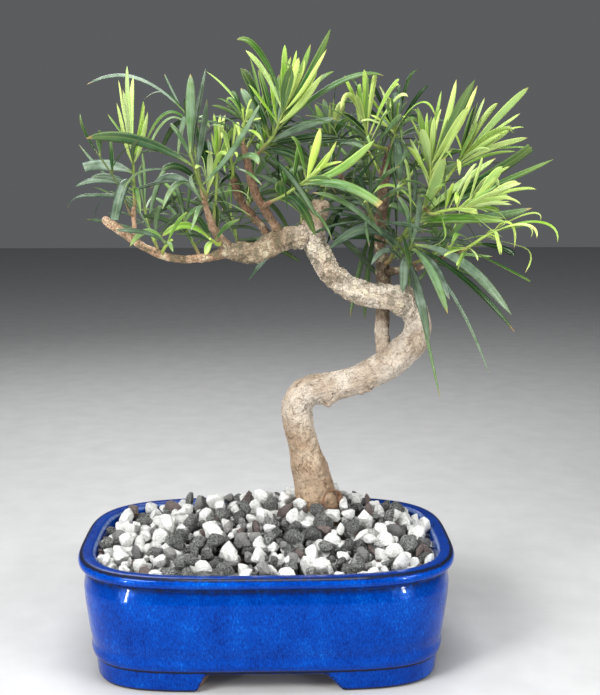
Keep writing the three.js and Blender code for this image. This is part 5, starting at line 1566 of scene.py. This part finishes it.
def shown_leaf(stem, row, number, step):
    """A leaf from the list, nearer or farther by a step where its place is taken."""
    place, x, y, z, width, rise, facing, tone, *clipped = row
    u = max(0.02, place - SAME_PLACE_STEP * (number % 6))
    tip = np.array([x, y + step, z + abs(step) * 0.1], float)
    base = leaf_root(stem, u, tip)
    chord = unit(tip - base)
    face = upper_face(stem_axis(stem, u), chord)
    front = FRONT * (-1 if np.dot(face, FRONT) < -0.15 else 1)
    face = unit(mix(face, front, facing))
    bend = mix(base, tip, 0.5) + UP * 2 * rise
    return Leaf(base, bend, tip, face, width, tone, bool(clipped))


def turned(v, axis, angle):
    """A vector turned round an axis."""
    return (v * math.cos(angle) + np.cross(axis, v) * math.sin(angle)
            + axis * np.dot(axis, v) * (1 - math.cos(angle)))


def ruled_leaf(stem, spin0, rule, number, count, draw, attempt):
    """A leaf of the spiral, turned and shortened a little more at each attempt."""
    _, long, short, tone = rule
    u = 0.1 + 0.88 * (number + draw[0]) / count
    axis = stem_axis(stem, u)
    aside = (1 if attempt % 2 else -1) * math.ceil(attempt / 2) * TRY_ASIDE
    spin = spin0 + number * LEAF_TURN + (draw[1] - 0.5) * SPIN_SPREAD + aside
    slope = math.radians(mix(*LEAF_SLOPE, u ** 1.2) + (draw[2] - 0.5) * SLOPE_SPREAD)
    length = mix(long, short, u ** 1.4) * mix(*LENGTH_SPREAD, draw[3]) * TRY_SHORTER ** attempt
    one = unit(np.cross(axis, (0, 1, 0) if abs(axis[1]) < 0.9 else (1, 0, 0)))
    out = one * math.cos(spin) + np.cross(axis, one) * math.sin(spin)
    along = axis * math.cos(slope) + out * math.sin(slope)
    base = leaf_root(stem, u, stem_at(stem, u) + along)
    droop = mix(*LEAF_DROOP, u) * mix(*DROOP_SPREAD, draw[4]) * length
    tip = base + along * length - UP * droop
    bend = base + along * length * 0.5
    chord = unit(tip - base)
    face = turned(upper_face(axis, chord), chord, (draw[5] - 0.5) * ROLL_SPREAD)
    width = length * mix(*WIDTH_SHARE, draw[6])
    tone = tone + (u - 0.5) * 0.5 + (draw[7] - 0.5) * 0.3
    return Leaf(base, bend, tip, face, width, tone, False, True)


print("leaf rules ready")

# %% Young and filling leaves
# Young leaves too thin for the CAD model, listed like those above.
YOUNG = {
    "right_up": [
        (0.9, 112, 2, 307, 2.8, -1, 0.8, 1), (0.8, 104, -4, 294, 2.6, 0, 0.7, 1),
        (0.95, 97, 8, 307, 1.8, 5, 0.2, 0.85), (1, 89, 3, 305, 2.6, -1, 0.7, 0.9),
        (0.95, 99, -2, 301, 3, 0, 0.8, 0.75), (0.6, 79, -6, 290, 2.4, 3, 0.5, 0.9),
        (1, 98, 10, 316, 2.6, -1, 0.6, 0.8), (0.95, 109, 4, 313, 2.6, 0, 0.6, 0.9),
        (0.8, 76, 2, 302, 1.8, 7, 0.3, 0.8), (0.7, 100, -12, 284, 2.6, 2, 0.8, 1),
    ],
    "right_fan": [
        (1, 138, 6, 294, 1.9, 6, 0.3, 0.9), (0.95, 135, 2, 297, 2.4, 2, 0.6, 0.85),
        (0.7, 123, -6, 284, 2, 5, 0.6, 1), (0.8, 130, 0, 287, 2.4, 1, 0.6, 0.9),
        (1, 121, 8, 313, 2.4, -1, 0.7, 0.9), (1, 125, 12, 305, 2.6, 0, 0.6, 1),
        (1, 131, 9, 303, 2.4, 1, 0.7, 0.8), (1, 142, 14, 305, 2.6, 0, 0.5, 0.7),
        (0.9, 144, 10, 298, 2.2, 3, 0.5, 0.9), (0.9, 128, -4, 293, 2.4, 0, 0.8, 1),
        (0.9, 116, 4, 301, 2.6, 0, 0.8, 0.9), (0.8, 137, 0, 284, 2.2, 2, 0.6, 0.8),
    ],
    "right_side": [
        (0.8, 117, -12, 281, 2.4, 1, 0.7, 0.95), (0.9, 127, -12, 274, 2.6, 1, 0.8, 1),
        (0.9, 123, -16, 270, 2.4, 0, 0.7, 1), (0.8, 125, -16, 263, 2.6, 0, 0.8, 1),
        (1, 138, -8, 266, 2.6, 1, 0.7, 1), (0.6, 115, -10, 277, 2.2, 2, 0.7, 1),
        (0.3, 101, -16, 267, 2.8, 0, 0.9, 0.9), (0.6, 110, -18, 271, 2.4, 1, 0.8, 1),
        (0.9, 134, -4, 275, 2.4, 2, 0.6, 0.9), (1, 145, 0, 273, 2.4, 2, 0.6, 0.85),
        (1, 150, 2, 263, 2.2, 3, 0.5, 0.9), (0.9, 131, -14, 258, 2.2, 2, 0.7, 0.95),
        (1, 139, -10, 255, 2, 4, 0.6, 0.9), (0.4, 107, -20, 263, 2.4, 1, 0.8, 1),
    ],
    "right_low": [
        (1, 147, -8, 237, 2.2, 6, 0.6, 0.95), (0.9, 128, -14, 228, 2.6, 5, 0.8, 1),
        (1, 152, -2, 246, 2, 5, 0.5, 0.9), (0.3, 115, -14, 225, 2.6, 2, 0.8, 0.9),
        (0.1, 104, -12, 222, 3, 1, 0.8, 1), (0.05, 98, -10, 227, 2.8, 1, 0.8, 1),
    ],
    "left_tip": [
        (0.95, -79, -2, 322, 2, 0, 0.8, 0.9), (0.9, -64, -6, 308, 2.2, -1, 0.8, 0.8),
    ],
    "apex": [
        (1, 17, -6, 337, 2.6, -1, 0.9, 0.9), (1, 21, -14, 331, 2.6, -1, 0.9, 1),
        (0.95, 10, -4, 333, 2.6, -1, 0.8, 0.6), (0.8, 2, -10, 325, 2.4, 0, 0.7, 0.9),
        (0.95, 28, -18, 325, 2.4, -1, 0.8, 1), (0.8, -2, 0, 329, 2.6, 0, 0.6, 0.5),
        (0.7, -9, -6, 319, 2.4, 1, 0.6, 0.9),
    ],
    "crown": [
        (1, 63, 4, 319, 2.2, 0, 0.7, 0.95), (1, 67, 0, 313, 2.4, 1, 0.7, 0.9),
        (1, 56, 2, 315, 2.4, 0, 0.8, 1), (1, 73, 4, 309, 2.2, 3, 0.5, 0.9),
        (0.9, 47, 0, 311, 2.4, 1, 0.6, 0.9), (0.9, 58, -6, 304, 2.6, 0, 0.8, 1),
        (1, 77, 0, 300, 2, 4, 0.5, 0.8), (0.9, 52, -8, 301, 2.4, 1, 0.7, 0.9),
    ],
    "mid": [
        (1, -7, 0, 311, 2, 2, 0.5, 0.9), (1, -2, -4, 301, 2.4, 0, 0.6, 0.9),
        (1, -12, 4, 305, 2, 3, 0.5, 0.8),
    ],
    "left_lime": [
        (1, -33, 6, 284, 2.2, 0, 0.6, 0.9), (1, -29, 8, 294, 2.4, -1, 0.7, 0.9),
        (0.9, -23, 10, 289, 2.2, 0, 0.6, 0.8), (0.9, -37, 2, 279, 2.2, 1, 0.6, 0.8),
    ],
    "left_curl": [
        (1, -22, -2, 284, 2.4, 1, 0.7, 1), (1, -15, -6, 280, 2.4, 3, 0.6, 1),
        (1, -27, -8, 276, 2.2, 4, 0.6, 1),
    ],
    "fore": [
        (1, 35, -18, 284, 2.6, 0, 0.8, 0.95), (1, 41, -20, 279, 2.4, 1, 0.7, 0.9),
        (0.95, 30, -22, 274, 2.4, 1, 0.7, 0.9),
    ],
    "inner": [
        (1, 45, 18, 314, 2.4, 0, 0.7, 0.8), (1, 36, 14, 310, 2.2, 1, 0.6, 0.9),
    ],
}

# Leaves by the rule that each shoot gets besides, where there is room for them.
FULLER = {
    "right_up": 10, "right_fan": 12, "right_side": 14, "right_low": 3, "left_tip": 0,
    "left_low": 1, "left_young": 5, "left_lime": 4, "left_curl": 5, "apex": 9, "crown": 13,
    "inner": 12, "centre": 12, "right": 3, "droop": 0, "mid": 2, "fore": 3, "left_front": 2,
    "left_crown": 4, "hang_left": 0, "hang_fore": 0, "front_mid": 10, "back_fork": 18,
    "back_stub": 18, "back_crown": 16, "back_apex": 16, "back_low": 14,
}
FULLER_BEHIND = 11  # for the shoots that are not named here, all at the back
print(sum(map(len, YOUNG.values())), "young leaves listed")

# %% Growing the crown
CROWN_SEED = 700
SPIN_STEP = 1.9  # how far the spiral of one shoot is turned from the last one's
FULLER_SPIN = 0.9
FULLER_WIDTH = 0.75
FULLER_LOWEST = 22  # over the height that the crown is clear below
FULLER_FARTHEST = 100  # behind the middle of the pot
LEAF_DRAWS = 8
SHOWN_STEPS = (0, 6, -6, 12, -12, 18, -18, 25)
RULED_TRIES = 9
WOOD_SKIN, STEM_SKIN = (1.08, 0.2), (1, 0.1)
# For each round: the share of a blade that may cross its own shoot near its foot, how
# strictly it keeps clear of the rest (1 as in the CAD model), and whether it may hang low.
ROUNDS = {
    "listed": (0.4, 1.0, True), "ruled": (0.13, 1.0, False), "missed": (0.5, 0.3, True),
    "young": (0.5, 0.15, False), "filling": (0.25, 0.35, False),
}


def seat_of(foot, lines):
    """Point nearest to a shoot's foot on the centre lines that may carry it."""
    best = None
    for line in lines:
        for start, end in zip(line, line[1:]):
            reach = np.array(end[:3], float) - start[:3]
            t = np.clip(np.dot(foot - start[:3], reach) / np.dot(reach, reach), 0, 1)
            close = np.array(start[:3], float) + reach * t
            gap = np.linalg.norm(close - foot) - min(start[3], end[3])
            if best is None or gap < best[0]:
                best = (gap, close)
    return best[1]


def stem_line(stem, carriers):
    """Centre line of a stem, run on from its foot to the middle of what carries it."""
    radii = np.linspace(*STEM_RADIUS, len(stem))
    line = [(*point, radius) for point, radius in zip(stem, radii)]
    seat = seat_of(stem[0], carriers)
    if np.linalg.norm(seat - stem[0]) > 1:
        line.insert(0, (*seat, STEM_RADIUS[0]))
    return line


def lowest_tip(x):
    """The crown is clear below: leaves of the rule end above this height."""
    return 224 if x < 30 else mix(224, 196, min((x - 30) / 40, 1))


def grow_crown():
    """The leaves of every shoot, and the centre line of every stem."""
    stems = {name: np.array(shoot.stem, float) for name, shoot in SHOOTS.items()}
    grown = {name: [] for name in SHOOTS}
    carriers, lines = list(WOOD.values()), {}
    for name, stem in stems.items():
        lines[name] = stem_line(stem, carriers)
        carriers.append(lines[name])
    beads = Beads()
    for number, line in enumerate(WOOD.values()):
        beads.add_line(line, 4, -1 - number, WOODY, WOOD_SKIN)
    for number, line in enumerate(lines.values()):
        beads.add_line(line, 6, number, STEM, STEM_SKIN)
    throws = [dice(CROWN_SEED + owner) for owner in range(len(SHOOTS))]

    def from_list(name, rows, steps):
        return [[shown_leaf(stems[name], row, number, step) for step in steps]
                for number, row in enumerate(rows)]

    def by_rule(owner, name, number, count, spin=0.0):
        draw = [throws[owner]() for _ in range(LEAF_DRAWS)]
        return [ruled_leaf(stems[name], owner * SPIN_STEP + spin, SHOOTS[name].rule, number,
                           count, draw, attempt) for attempt in range(RULED_TRIES)]

    def settle(owner, name, tries, kind):
        """Keeps the first of some tries that has room."""
        root_share, strict, low = ROUNDS[kind]
        for leaf in tries:
            if not low and leaf.tip[2] <= lowest_tip(leaf.tip[0]):
                continue
            at, axes, t = leaf_beads(leaf)
            if beads.clear(at, axes, t, owner, root_share, strict):
                beads.add(at, axes, owner, BLADE)
                grown[name].append(leaf)
                return True
        return False

    missed = []
    for owner, (name, shoot) in enumerate(SHOOTS.items()):
        for tries in from_list(name, shoot.leaves, SHOWN_STEPS):
            if not settle(owner, name, tries, "listed"):
                missed.append((owner, name, tries))
    for owner, (name, shoot) in enumerate(SHOOTS.items()):
        count = shoot.rule[0]
        for number in range(count):
            settle(owner, name, by_rule(owner, name, number, count), "ruled")
    first = sum(map(len, grown.values()))
    for owner, name, tries in missed:
        settle(owner, name, tries, "missed")
    for owner, name in enumerate(SHOOTS):
        for tries in from_list(name, YOUNG.get(name, ()), SHOWN_STEPS[:3]):
            settle(owner, name, tries, "young")
    for owner, name in enumerate(SHOOTS):
        count = FULLER.get(name, FULLER_BEHIND)
        for number in range(count):
            tries = [leaf._replace(width=leaf.width * FULLER_WIDTH)
                     for leaf in by_rule(owner, name, number, count, FULLER_SPIN)
                     if leaf.tip[2] > lowest_tip(leaf.tip[0]) + FULLER_LOWEST
                     and leaf.tip[1] < FULLER_FARTHEST]
            settle(owner, name, tries, "filling")
    more = sum(map(len, grown.values())) - first
    print("leaves:", first, "as in the CAD model and", more, "more")
    return grown, lines


crown, stem_lines = grow_crown()

# %% [markdown]
# ### Blades from lines
#
# Each leaf is given to Geometry Nodes as a line of points with a width and a facing. The tree
# makes the lines into curves, sweeps one leaf section along every one, and sweeps a round
# section along the stems. The section is flat, with a groove over the midrib and a keel
# below. Its own points carry `across` and `upper`, which arrive on the blade and tell the
# material where the midrib, the margins and the pale underside are.

# %% Sections to sweep
STEM_SIDES = 8
LEAF_SECTION = [  # height above the blade's plane, place across it, upper side or not
    (-0.02, -1.0, 0.5), (0.14, -0.66, 1), (0.15, -0.34, 1), (0.0, 0, 1), (0.15, 0.34, 1),
    (0.14, 0.66, 1), (-0.02, 1.0, 0.5), (-0.02, 0.5, 0), (-0.04, 0.16, 0), (-0.18, 0, 0),
    (-0.04, -0.16, 0), (-0.02, -0.5, 0),
]


def section(name, corners, **values):
    """A closed outline in the plane that a sweep expects, with values on its points."""
    count = len(corners)
    outline = bpy.data.meshes.new(name)
    outline.from_pydata([(x, y, 0) for x, y in corners],
                        [(i, (i + 1) % count) for i in range(count)], [])
    piece = bpy.data.objects.new(name, outline)
    for label, value in values.items():
        paint(piece, label, value)
    bpy.context.scene.collection.objects.link(piece)
    return piece


heights, places_across, upper_sides = zip(*LEAF_SECTION)
leaf_section = section("leaf_section", list(zip(heights, places_across)),
                       across=places_across, upper=upper_sides)
round_turns = np.linspace(0, 2 * math.pi, STEM_SIDES, endpoint=False)
stem_section = section("stem_section", list(zip(np.cos(round_turns), np.sin(round_turns))))
print("sections of", len(LEAF_SECTION), "and", STEM_SIDES, "points")

# %% The tree of a leafy shoot
def make_shoot_tree():
    tree, source, result = geometry_tree(
        "leafy_shoot", Blade=("Object", None), Twig=("Object", None),
        Leaf_Finish=("Material", None), Stem_Finish=("Material", None))
    is_stem = maths("GREATER_THAN", attribute(tree, "stem"), 0.5)
    half_width = attribute(tree, "half_width")

    def curves(mesh):
        return add(tree, "GeometryNodeMeshToCurve", {"Mesh": mesh}).outputs[0]

    def swept(curve, outline):
        shape = add(tree, "GeometryNodeObjectInfo", {"Object": outline}).outputs["Geometry"]
        return add(tree, "GeometryNodeCurveToMesh", {
            "Curve": curve, "Profile Curve": curves(shape), "Scale": half_width,
            "Fill Caps": True}).outputs[0]

    parts = add(tree, "GeometryNodeSeparateGeometry", {
        "Geometry": source["Geometry"], "Selection": is_stem})
    stems = swept(curves(parts.outputs[0]), source["Twig"])
    facing = add(tree, "GeometryNodeSetCurveNormal", {
        "Curve": curves(parts.outputs[1]),
        "Normal": attribute(tree, "facing", "FLOAT_VECTOR")}, mode="FREE")
    blades = swept(facing.outputs[0], source["Blade"])
    both = add(tree, "GeometryNodeJoinGeometry")
    for geometry in (stems, blades):
        tree.links.new(geometry, both.inputs[0])
    real = add(tree, "GeometryNodeRealizeInstances", {"Geometry": both.outputs[0]})
    smooth = add(tree, "GeometryNodeSetShadeSmooth", {"Geometry": real.outputs[0]})
    leafy = add(tree, "GeometryNodeSetMaterial", {
        "Geometry": smooth.outputs[0], "Material": source["Leaf_Finish"]})
    done = add(tree, "GeometryNodeSetMaterial", {
        "Geometry": leafy.outputs[0], "Selection": is_stem, "Material": source["Stem_Finish"]})
    tree.links.new(done.outputs[0], result)
    return tree


print("shoot tree described")

# %% [markdown]
# Old leaves are deep green and leathery with a soft shine, young ones at the tips are lime
# and softer. The tone that each leaf carries picks its colour, the midrib is a paler line,
# the underside is greyer, and the foot of a leaf is yellowish. Each leaf gets its own hue by
# chance, some of the old ones are greyed by dust and a painted sheen, and some tips are dry.
# The pale margins of lime leaves are partly a painted highlight, and on some leaves one half
# of the blade is painted darker, as shade on one side of the fold. A weak noise along the
# blade gives the fine parallel veins.

# %% Leaf and stem materials
def make_leaf_finish():
    material, tree, shader = new_material(
        "strap_leaf", Roughness=0.4, Specular_IOR_Level=0.1, Coat_Weight=0.12,
        Coat_Roughness=0.12, Specular_Tint=(0.75, 1.0, 0.75, 1.0))
    tone, across, upper, run, odd, dusty = (
        read(tree, name) for name in ("tone", "across", "upper", "run", "odd", "dusty"))
    mottle = noise(own_place(tree), 110, detail=2)
    underside = maths("LESS_THAN", upper, 0.25)

    age = maths("MULTIPLY_ADD", maths("SUBTRACT", odd, 0.5), 0.4, tone)
    green = ramp(age, [
        (0.0, (0.007, 0.025, 0.008)), (0.25, (0.015, 0.052, 0.014)),
        (0.5, (0.050, 0.137, 0.020)), (0.75, (0.165, 0.31, 0.045)), (1.0, (0.43, 0.555, 0.17))])
    chance = add(tree, "ShaderNodeTexWhiteNoise", {"W": odd}, noise_dimensions="1D")
    hue = ramp(chance.outputs["Value"], [
        (0.0, (0.80, 0.90, 0.35)), (0.3, (1, 1, 0.8)), (0.6, (1, 1, 1)),
        (0.8, (1.05, 1.02, 1.5)), (1.0, (0.75, 0.95, 1.1))], "CONSTANT")
    green = tinted(green, hue, maths("MULTIPLY_ADD", tone, 0.6, 0.3))

    vein_place = add(tree, "ShaderNodeCombineXYZ", {
        "X": times(across, 7.0), "Y": times(run, 1.5), "Z": odd}).outputs[0]
    veins = noise(vein_place, 1.6, detail=3)
    green = tinted(green, ramp(veins, [(0.3, 0.76), (0.7, 1.16)]), 0.4)
    green = tinted(green, ramp(mottle, [(0.3, 0.7), (0.7, 1.25)]), 0.35)
    # painted shade: some leaves get one half of the blade darker, as on the shaded side of the
    # fold
    half = ramp(maths("MULTIPLY_ADD", across, 0.5, 0.5), [(0.42, 1.0), (0.58, 0.72)])
    green = blend(ramp(odd, [(0.2, 0.0), (0.8, 1.0)]), green, tinted(green, half))

    edge = maths("ABSOLUTE", across)
    rib = ramp(edge, [(0.03, 1.0), (0.16, 0.0)])
    green = blend(times(rib, 0.4), green, blend(0.30, green, (0.42, 0.55, 0.16)))
    # pale margins of lime leaves: partly their own pale edge, partly a painted highlight
    pale_margin_and_highlight = times(ramp(edge, [(0.66, 0.0), (0.95, 0.65)]), tone)
    tipward = times(ramp(run, [(0.55, 0.0), (1.0, 0.45)]), tone)
    green = blend(maths("MAXIMUM", pale_margin_and_highlight, tipward), green, (0.52, 0.61, 0.20))

    # grey patches on old dark leaves and on dusty shoots: partly real dust, partly a painted sheen
    dust_and_sheen = times(ramp(odd, [(0.6, 0.0), (1.0, 0.55)]), ramp(tone, [(0.2, 1.0), (0.6, 0.0)]))
    dust_and_sheen = times(maths("MAXIMUM", dust_and_sheen, dusty), ramp(mottle, [(0.35, 0.35), (0.6, 1.0)]))
    green = blend(dust_and_sheen, green, (0.22, 0.285, 0.22))
    green = blend(underside, green, blend(0.22, green, (0.22, 0.33, 0.13)))
    foot = ramp(run, [(0.0, 1.0), (0.16, 0.0)])
    yellowish = blend(tone, (0.20, 0.30, 0.05), (0.60, 0.60, 0.22))
    green = blend(times(foot, 0.6), green, yellowish)
    dry = times(ramp(run, [(0.93, 0.0), (1.0, 0.8)]), ramp(odd, [(0.45, 0.0), (0.55, 1.0)]))
    feed(shader, "Base Color", blend(dry, green, (0.32, 0.20, 0.08)))

    dull = maths("MULTIPLY_ADD", mottle, 0.22, 0.16)
    feed(shader, "Roughness", maths("MULTIPLY_ADD", underside, 0.22, dull))
    bump(shader, plus(veins, times(rib, -0.6)), 0.2, 0.0003)
    return material


def make_stem_finish():
    material, tree, shader = new_material("green_stem", Roughness=0.55)
    skin = noise(own_place(tree), 500, detail=4)
    lime = blend(skin, (0.17, 0.27, 0.035), (0.36, 0.47, 0.08))
    young = blend(read(tree, "tone"), (0.050, 0.070, 0.022), lime)
    woody = blend(skin, (0.13, 0.075, 0.035), (0.27, 0.17, 0.085))
    outward = ramp(read(tree, "run"), [(0.06, 0.0), (0.35, 1.0)])
    feed(shader, "Base Color", blend(outward, woody, young))
    bump(shader, skin, 0.25, 0.0003)
    return material


finishes = {"Leaf_Finish": make_leaf_finish(), "Stem_Finish": make_stem_finish()}
print("finishes:", ", ".join(finish.name for finish in finishes.values()))

# %% How the blades of each shoot are shaped
# How much its leaves curl at the tip, where 1 is usual.
CURL = {
    "right_low": 3.2, "crown": 1.6, "centre": 1.4, "left_curl": 2, "mid": 1.6,
    "right_side": 1.4, "left_crown": 0.3,
}
# How far its blades bow outwards, so that their tips turn down.
BOW = {
    "right_low": 0.40, "crown": 0.16, "centre": 0.16, "mid": 0.2, "right_side": 0.14,
    "left_curl": 0.25, "apex": 0.05, "right_fan": 0.06,
}
# Share of their width that its lime leaves keep.
SLIM = {
    "right_low": 0.62, "left_tip": 0.78, "crown": 0.85, "centre": 0.85, "left_lime": 0.8,
    "left_curl": 0.85, "fore": 0.82, "mid": 0.85,
}
# The most dust and painted sheen on its leaves, and the share of the CAD stem's radius
# that its stem keeps.
DUST_SHEEN = {
    "droop": 0.75, "left_young": 0.8, "left_front": 0.5, "left_crown": 0.6,
    "hang_left": 0.5, "left_tip": 0.4, "front_mid": 0.3, "back_left": 0.5, "back_tip": 0.5,
}
STEM_SHARE = {"right": 0.8, "droop": 0.72, "left_low": 0.34}
STEM_SHARE_ELSE = 0.56
SMOOTH_WIDTH = {  # as BLADE_WIDTH, with more steps
    False: [(0, 0.2), (0.08, 0.32), (0.18, 0.54), (0.3, 0.77), (0.44, 0.94), (0.56, 1),
            (0.7, 0.97), (0.8, 0.86), (0.88, 0.69), (0.945, 0.45), (0.985, 0.22), (1, 0.05)],
    True: [(0, 0.2), (0.08, 0.32), (0.2, 0.6), (0.35, 0.86), (0.5, 0.98), (0.7, 1),
           (1, 0.86)],
}
print(len(CURL), "shoots curl more or less than the rest,", len(BOW), "bow")

# %% Lines of every shoot, run through the tree
LINE_SEED = 3100
STEM_STEP = 2.0
BLADE_PLACES = np.linspace(0, 1, 13) ** 0.94
LISTED_FREEDOM = 0.3  # share of the chance that a listed leaf takes
SWEEP, LIFT = 0.3, 0.12
HOOK_FROM, HOOK = 0.6, (-0.04, 0.2)
TWIST = (0.6, 1.6)
RULED_FULL, WIDE_FULL, SLENDER_FULL = (0.66, 0.9), 0.98, 0.86
WIDE_LEAF = 5
LIME = 0.7
RULED_BOW = 0.4
WAVE = 1.6
# Painted shade inside the crown: leaves of the rule whose middle lies near this depth get their
# tone lowered by up to this much.
INSIDE_PAINTED_SHADE, INSIDE_Y, INSIDE_DEPTH = 0.3, 20, 16
# Leaves with dust and a painted sheen: how far they turn to the front, how much wider they are,
# and how much dust and sheen each step of tone below 0 gives.
DUST_SHEEN_FACING, DUST_SHEEN_WIDER, DUST_SHEEN_PER_TONE = 0.6, 1.15, 2.2


def stem_part(name):
    """Points along a shoot's stem, and the values that they carry."""
    line = smooth_line(stem_lines[name], STEM_STEP)
    even = np.ones(len(line))
    return line[:, :3], {
        "half_width": line[:, 3] * STEM_SHARE.get(name, STEM_SHARE_ELSE),
        "facing": even[:, None] * UP, "tone": even * SHOOTS[name].rule[3] * 2,
        "run": np.linspace(0, 1, len(line)), "odd": even * 0, "dusty": even * 0, "stem": even,
    }


def blade_part(name, leaf, throw):
    """Points along a leaf, and the values that they carry."""
    t = BLADE_PLACES
    even = np.ones(len(t))
    if leaf.tone < 0 and not leaf.ruled:
        leaf = leaf._replace(face=unit(mix(leaf.face, FRONT, DUST_SHEEN_FACING)),
                             width=leaf.width * DUST_SHEEN_WIDER)
    chord = leaf.tip - leaf.base
    reach = np.linalg.norm(chord)
    free = 1.0 if leaf.ruled else LISTED_FREEDOM
    sweep = np.cross(chord, leaf.face) * (throw() - 0.5) * SWEEP * free
    leaf = leaf._replace(bend=leaf.bend + sweep + UP * reach * LIFT * throw() * free)
    along, across, face = leaf_sides(leaf, t)
    hook = fade(t, HOOK_FROM, 1) ** 2 * reach * free * mix(*HOOK, throw() ** 1.6)
    hook *= CURL.get(name, 1)
    twist = (throw() - 0.5) * mix(*TWIST, free) * (t - 0.3)
    if leaf.ruled:
        full = mix(*RULED_FULL, throw())
    else:
        full = WIDE_FULL if leaf.width > WIDE_LEAF else SLENDER_FULL
    full *= SLIM.get(name, 1) if leaf.tone > LIME else 1
    bow = chord * BOW.get(name, 0) * (RULED_BOW if leaf.ruled else 1)
    wave = np.sin(t * math.pi * (1 + throw())) * t * (throw() - 0.5) * WAVE
    points = (leaf_points(leaf, t) + across * wave[:, None]
              - (face + along * 0.4) * hook[:, None] + bow * 1.5 * (t - t ** 3)[:, None])
    # painted shade: leaves of the rule near the middle of the crown in depth get a lower tone
    inside_painted_shade = 0
    if leaf.ruled:
        inside = (mix(leaf.base, leaf.tip, 0.6)[1] - INSIDE_Y) / INSIDE_DEPTH
        inside_painted_shade = INSIDE_PAINTED_SHADE * math.exp(-inside ** 2)
    # dust and painted sheen: a listed leaf with a tone below 0 gets it by that tone
    own_dust_sheen = -DUST_SHEEN_PER_TONE * leaf.tone * (not leaf.ruled)
    return points, {
        "half_width": np.interp(t, *zip(*SMOOTH_WIDTH[leaf.clipped])) * leaf.width * full * 0.5,
        "facing": face * np.cos(twist)[:, None] + across * np.sin(twist)[:, None],
        "tone": even * np.clip(leaf.tone - inside_painted_shade, 0, 1), "run": t, "odd": even * throw(),
        "dusty": even * max(own_dust_sheen, DUST_SHEEN.get(name, 0) * throw()), "stem": even * 0,
    }


def shoot_lines(name, owner):
    """Points, edges and values of the lines of one shoot: its stem first, then its leaves."""
    throw = dice(LINE_SEED + owner)
    parts = [stem_part(name)] + [blade_part(name, leaf, throw) for leaf in crown[name]]
    starts = np.cumsum([0] + [len(points) for points, _ in parts])
    edges = [(k, k + 1) for a, b in zip(starts, starts[1:]) for k in range(a, b - 1)]
    values = {key: np.concatenate([carried[key] for _, carried in parts])
              for key in parts[0][1]}
    return np.vstack([points for points, _ in parts]), edges, values


shoot_tree = make_shoot_tree()
total = 0
for owner, name in enumerate(SHOOTS):
    points, edges, values = shoot_lines(name, owner)
    shoot = new_piece("leaves_" + name, points, edges=edges)
    values["half_width"] = values["half_width"] / 1000
    for label, value in values.items():
        paint(shoot, label, value, "FLOAT_VECTOR" if label == "facing" else "FLOAT")
    run_tree(shoot, shoot_tree, Blade=leaf_section, Twig=stem_section, **finishes)
    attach(shoot, "root")
    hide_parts("shoot_" + name)
    total += triangles(shoot)
for outline in (leaf_section, stem_section):
    bpy.data.objects.remove(outline)
print(len(SHOOTS), "shoots,", total, "triangles")
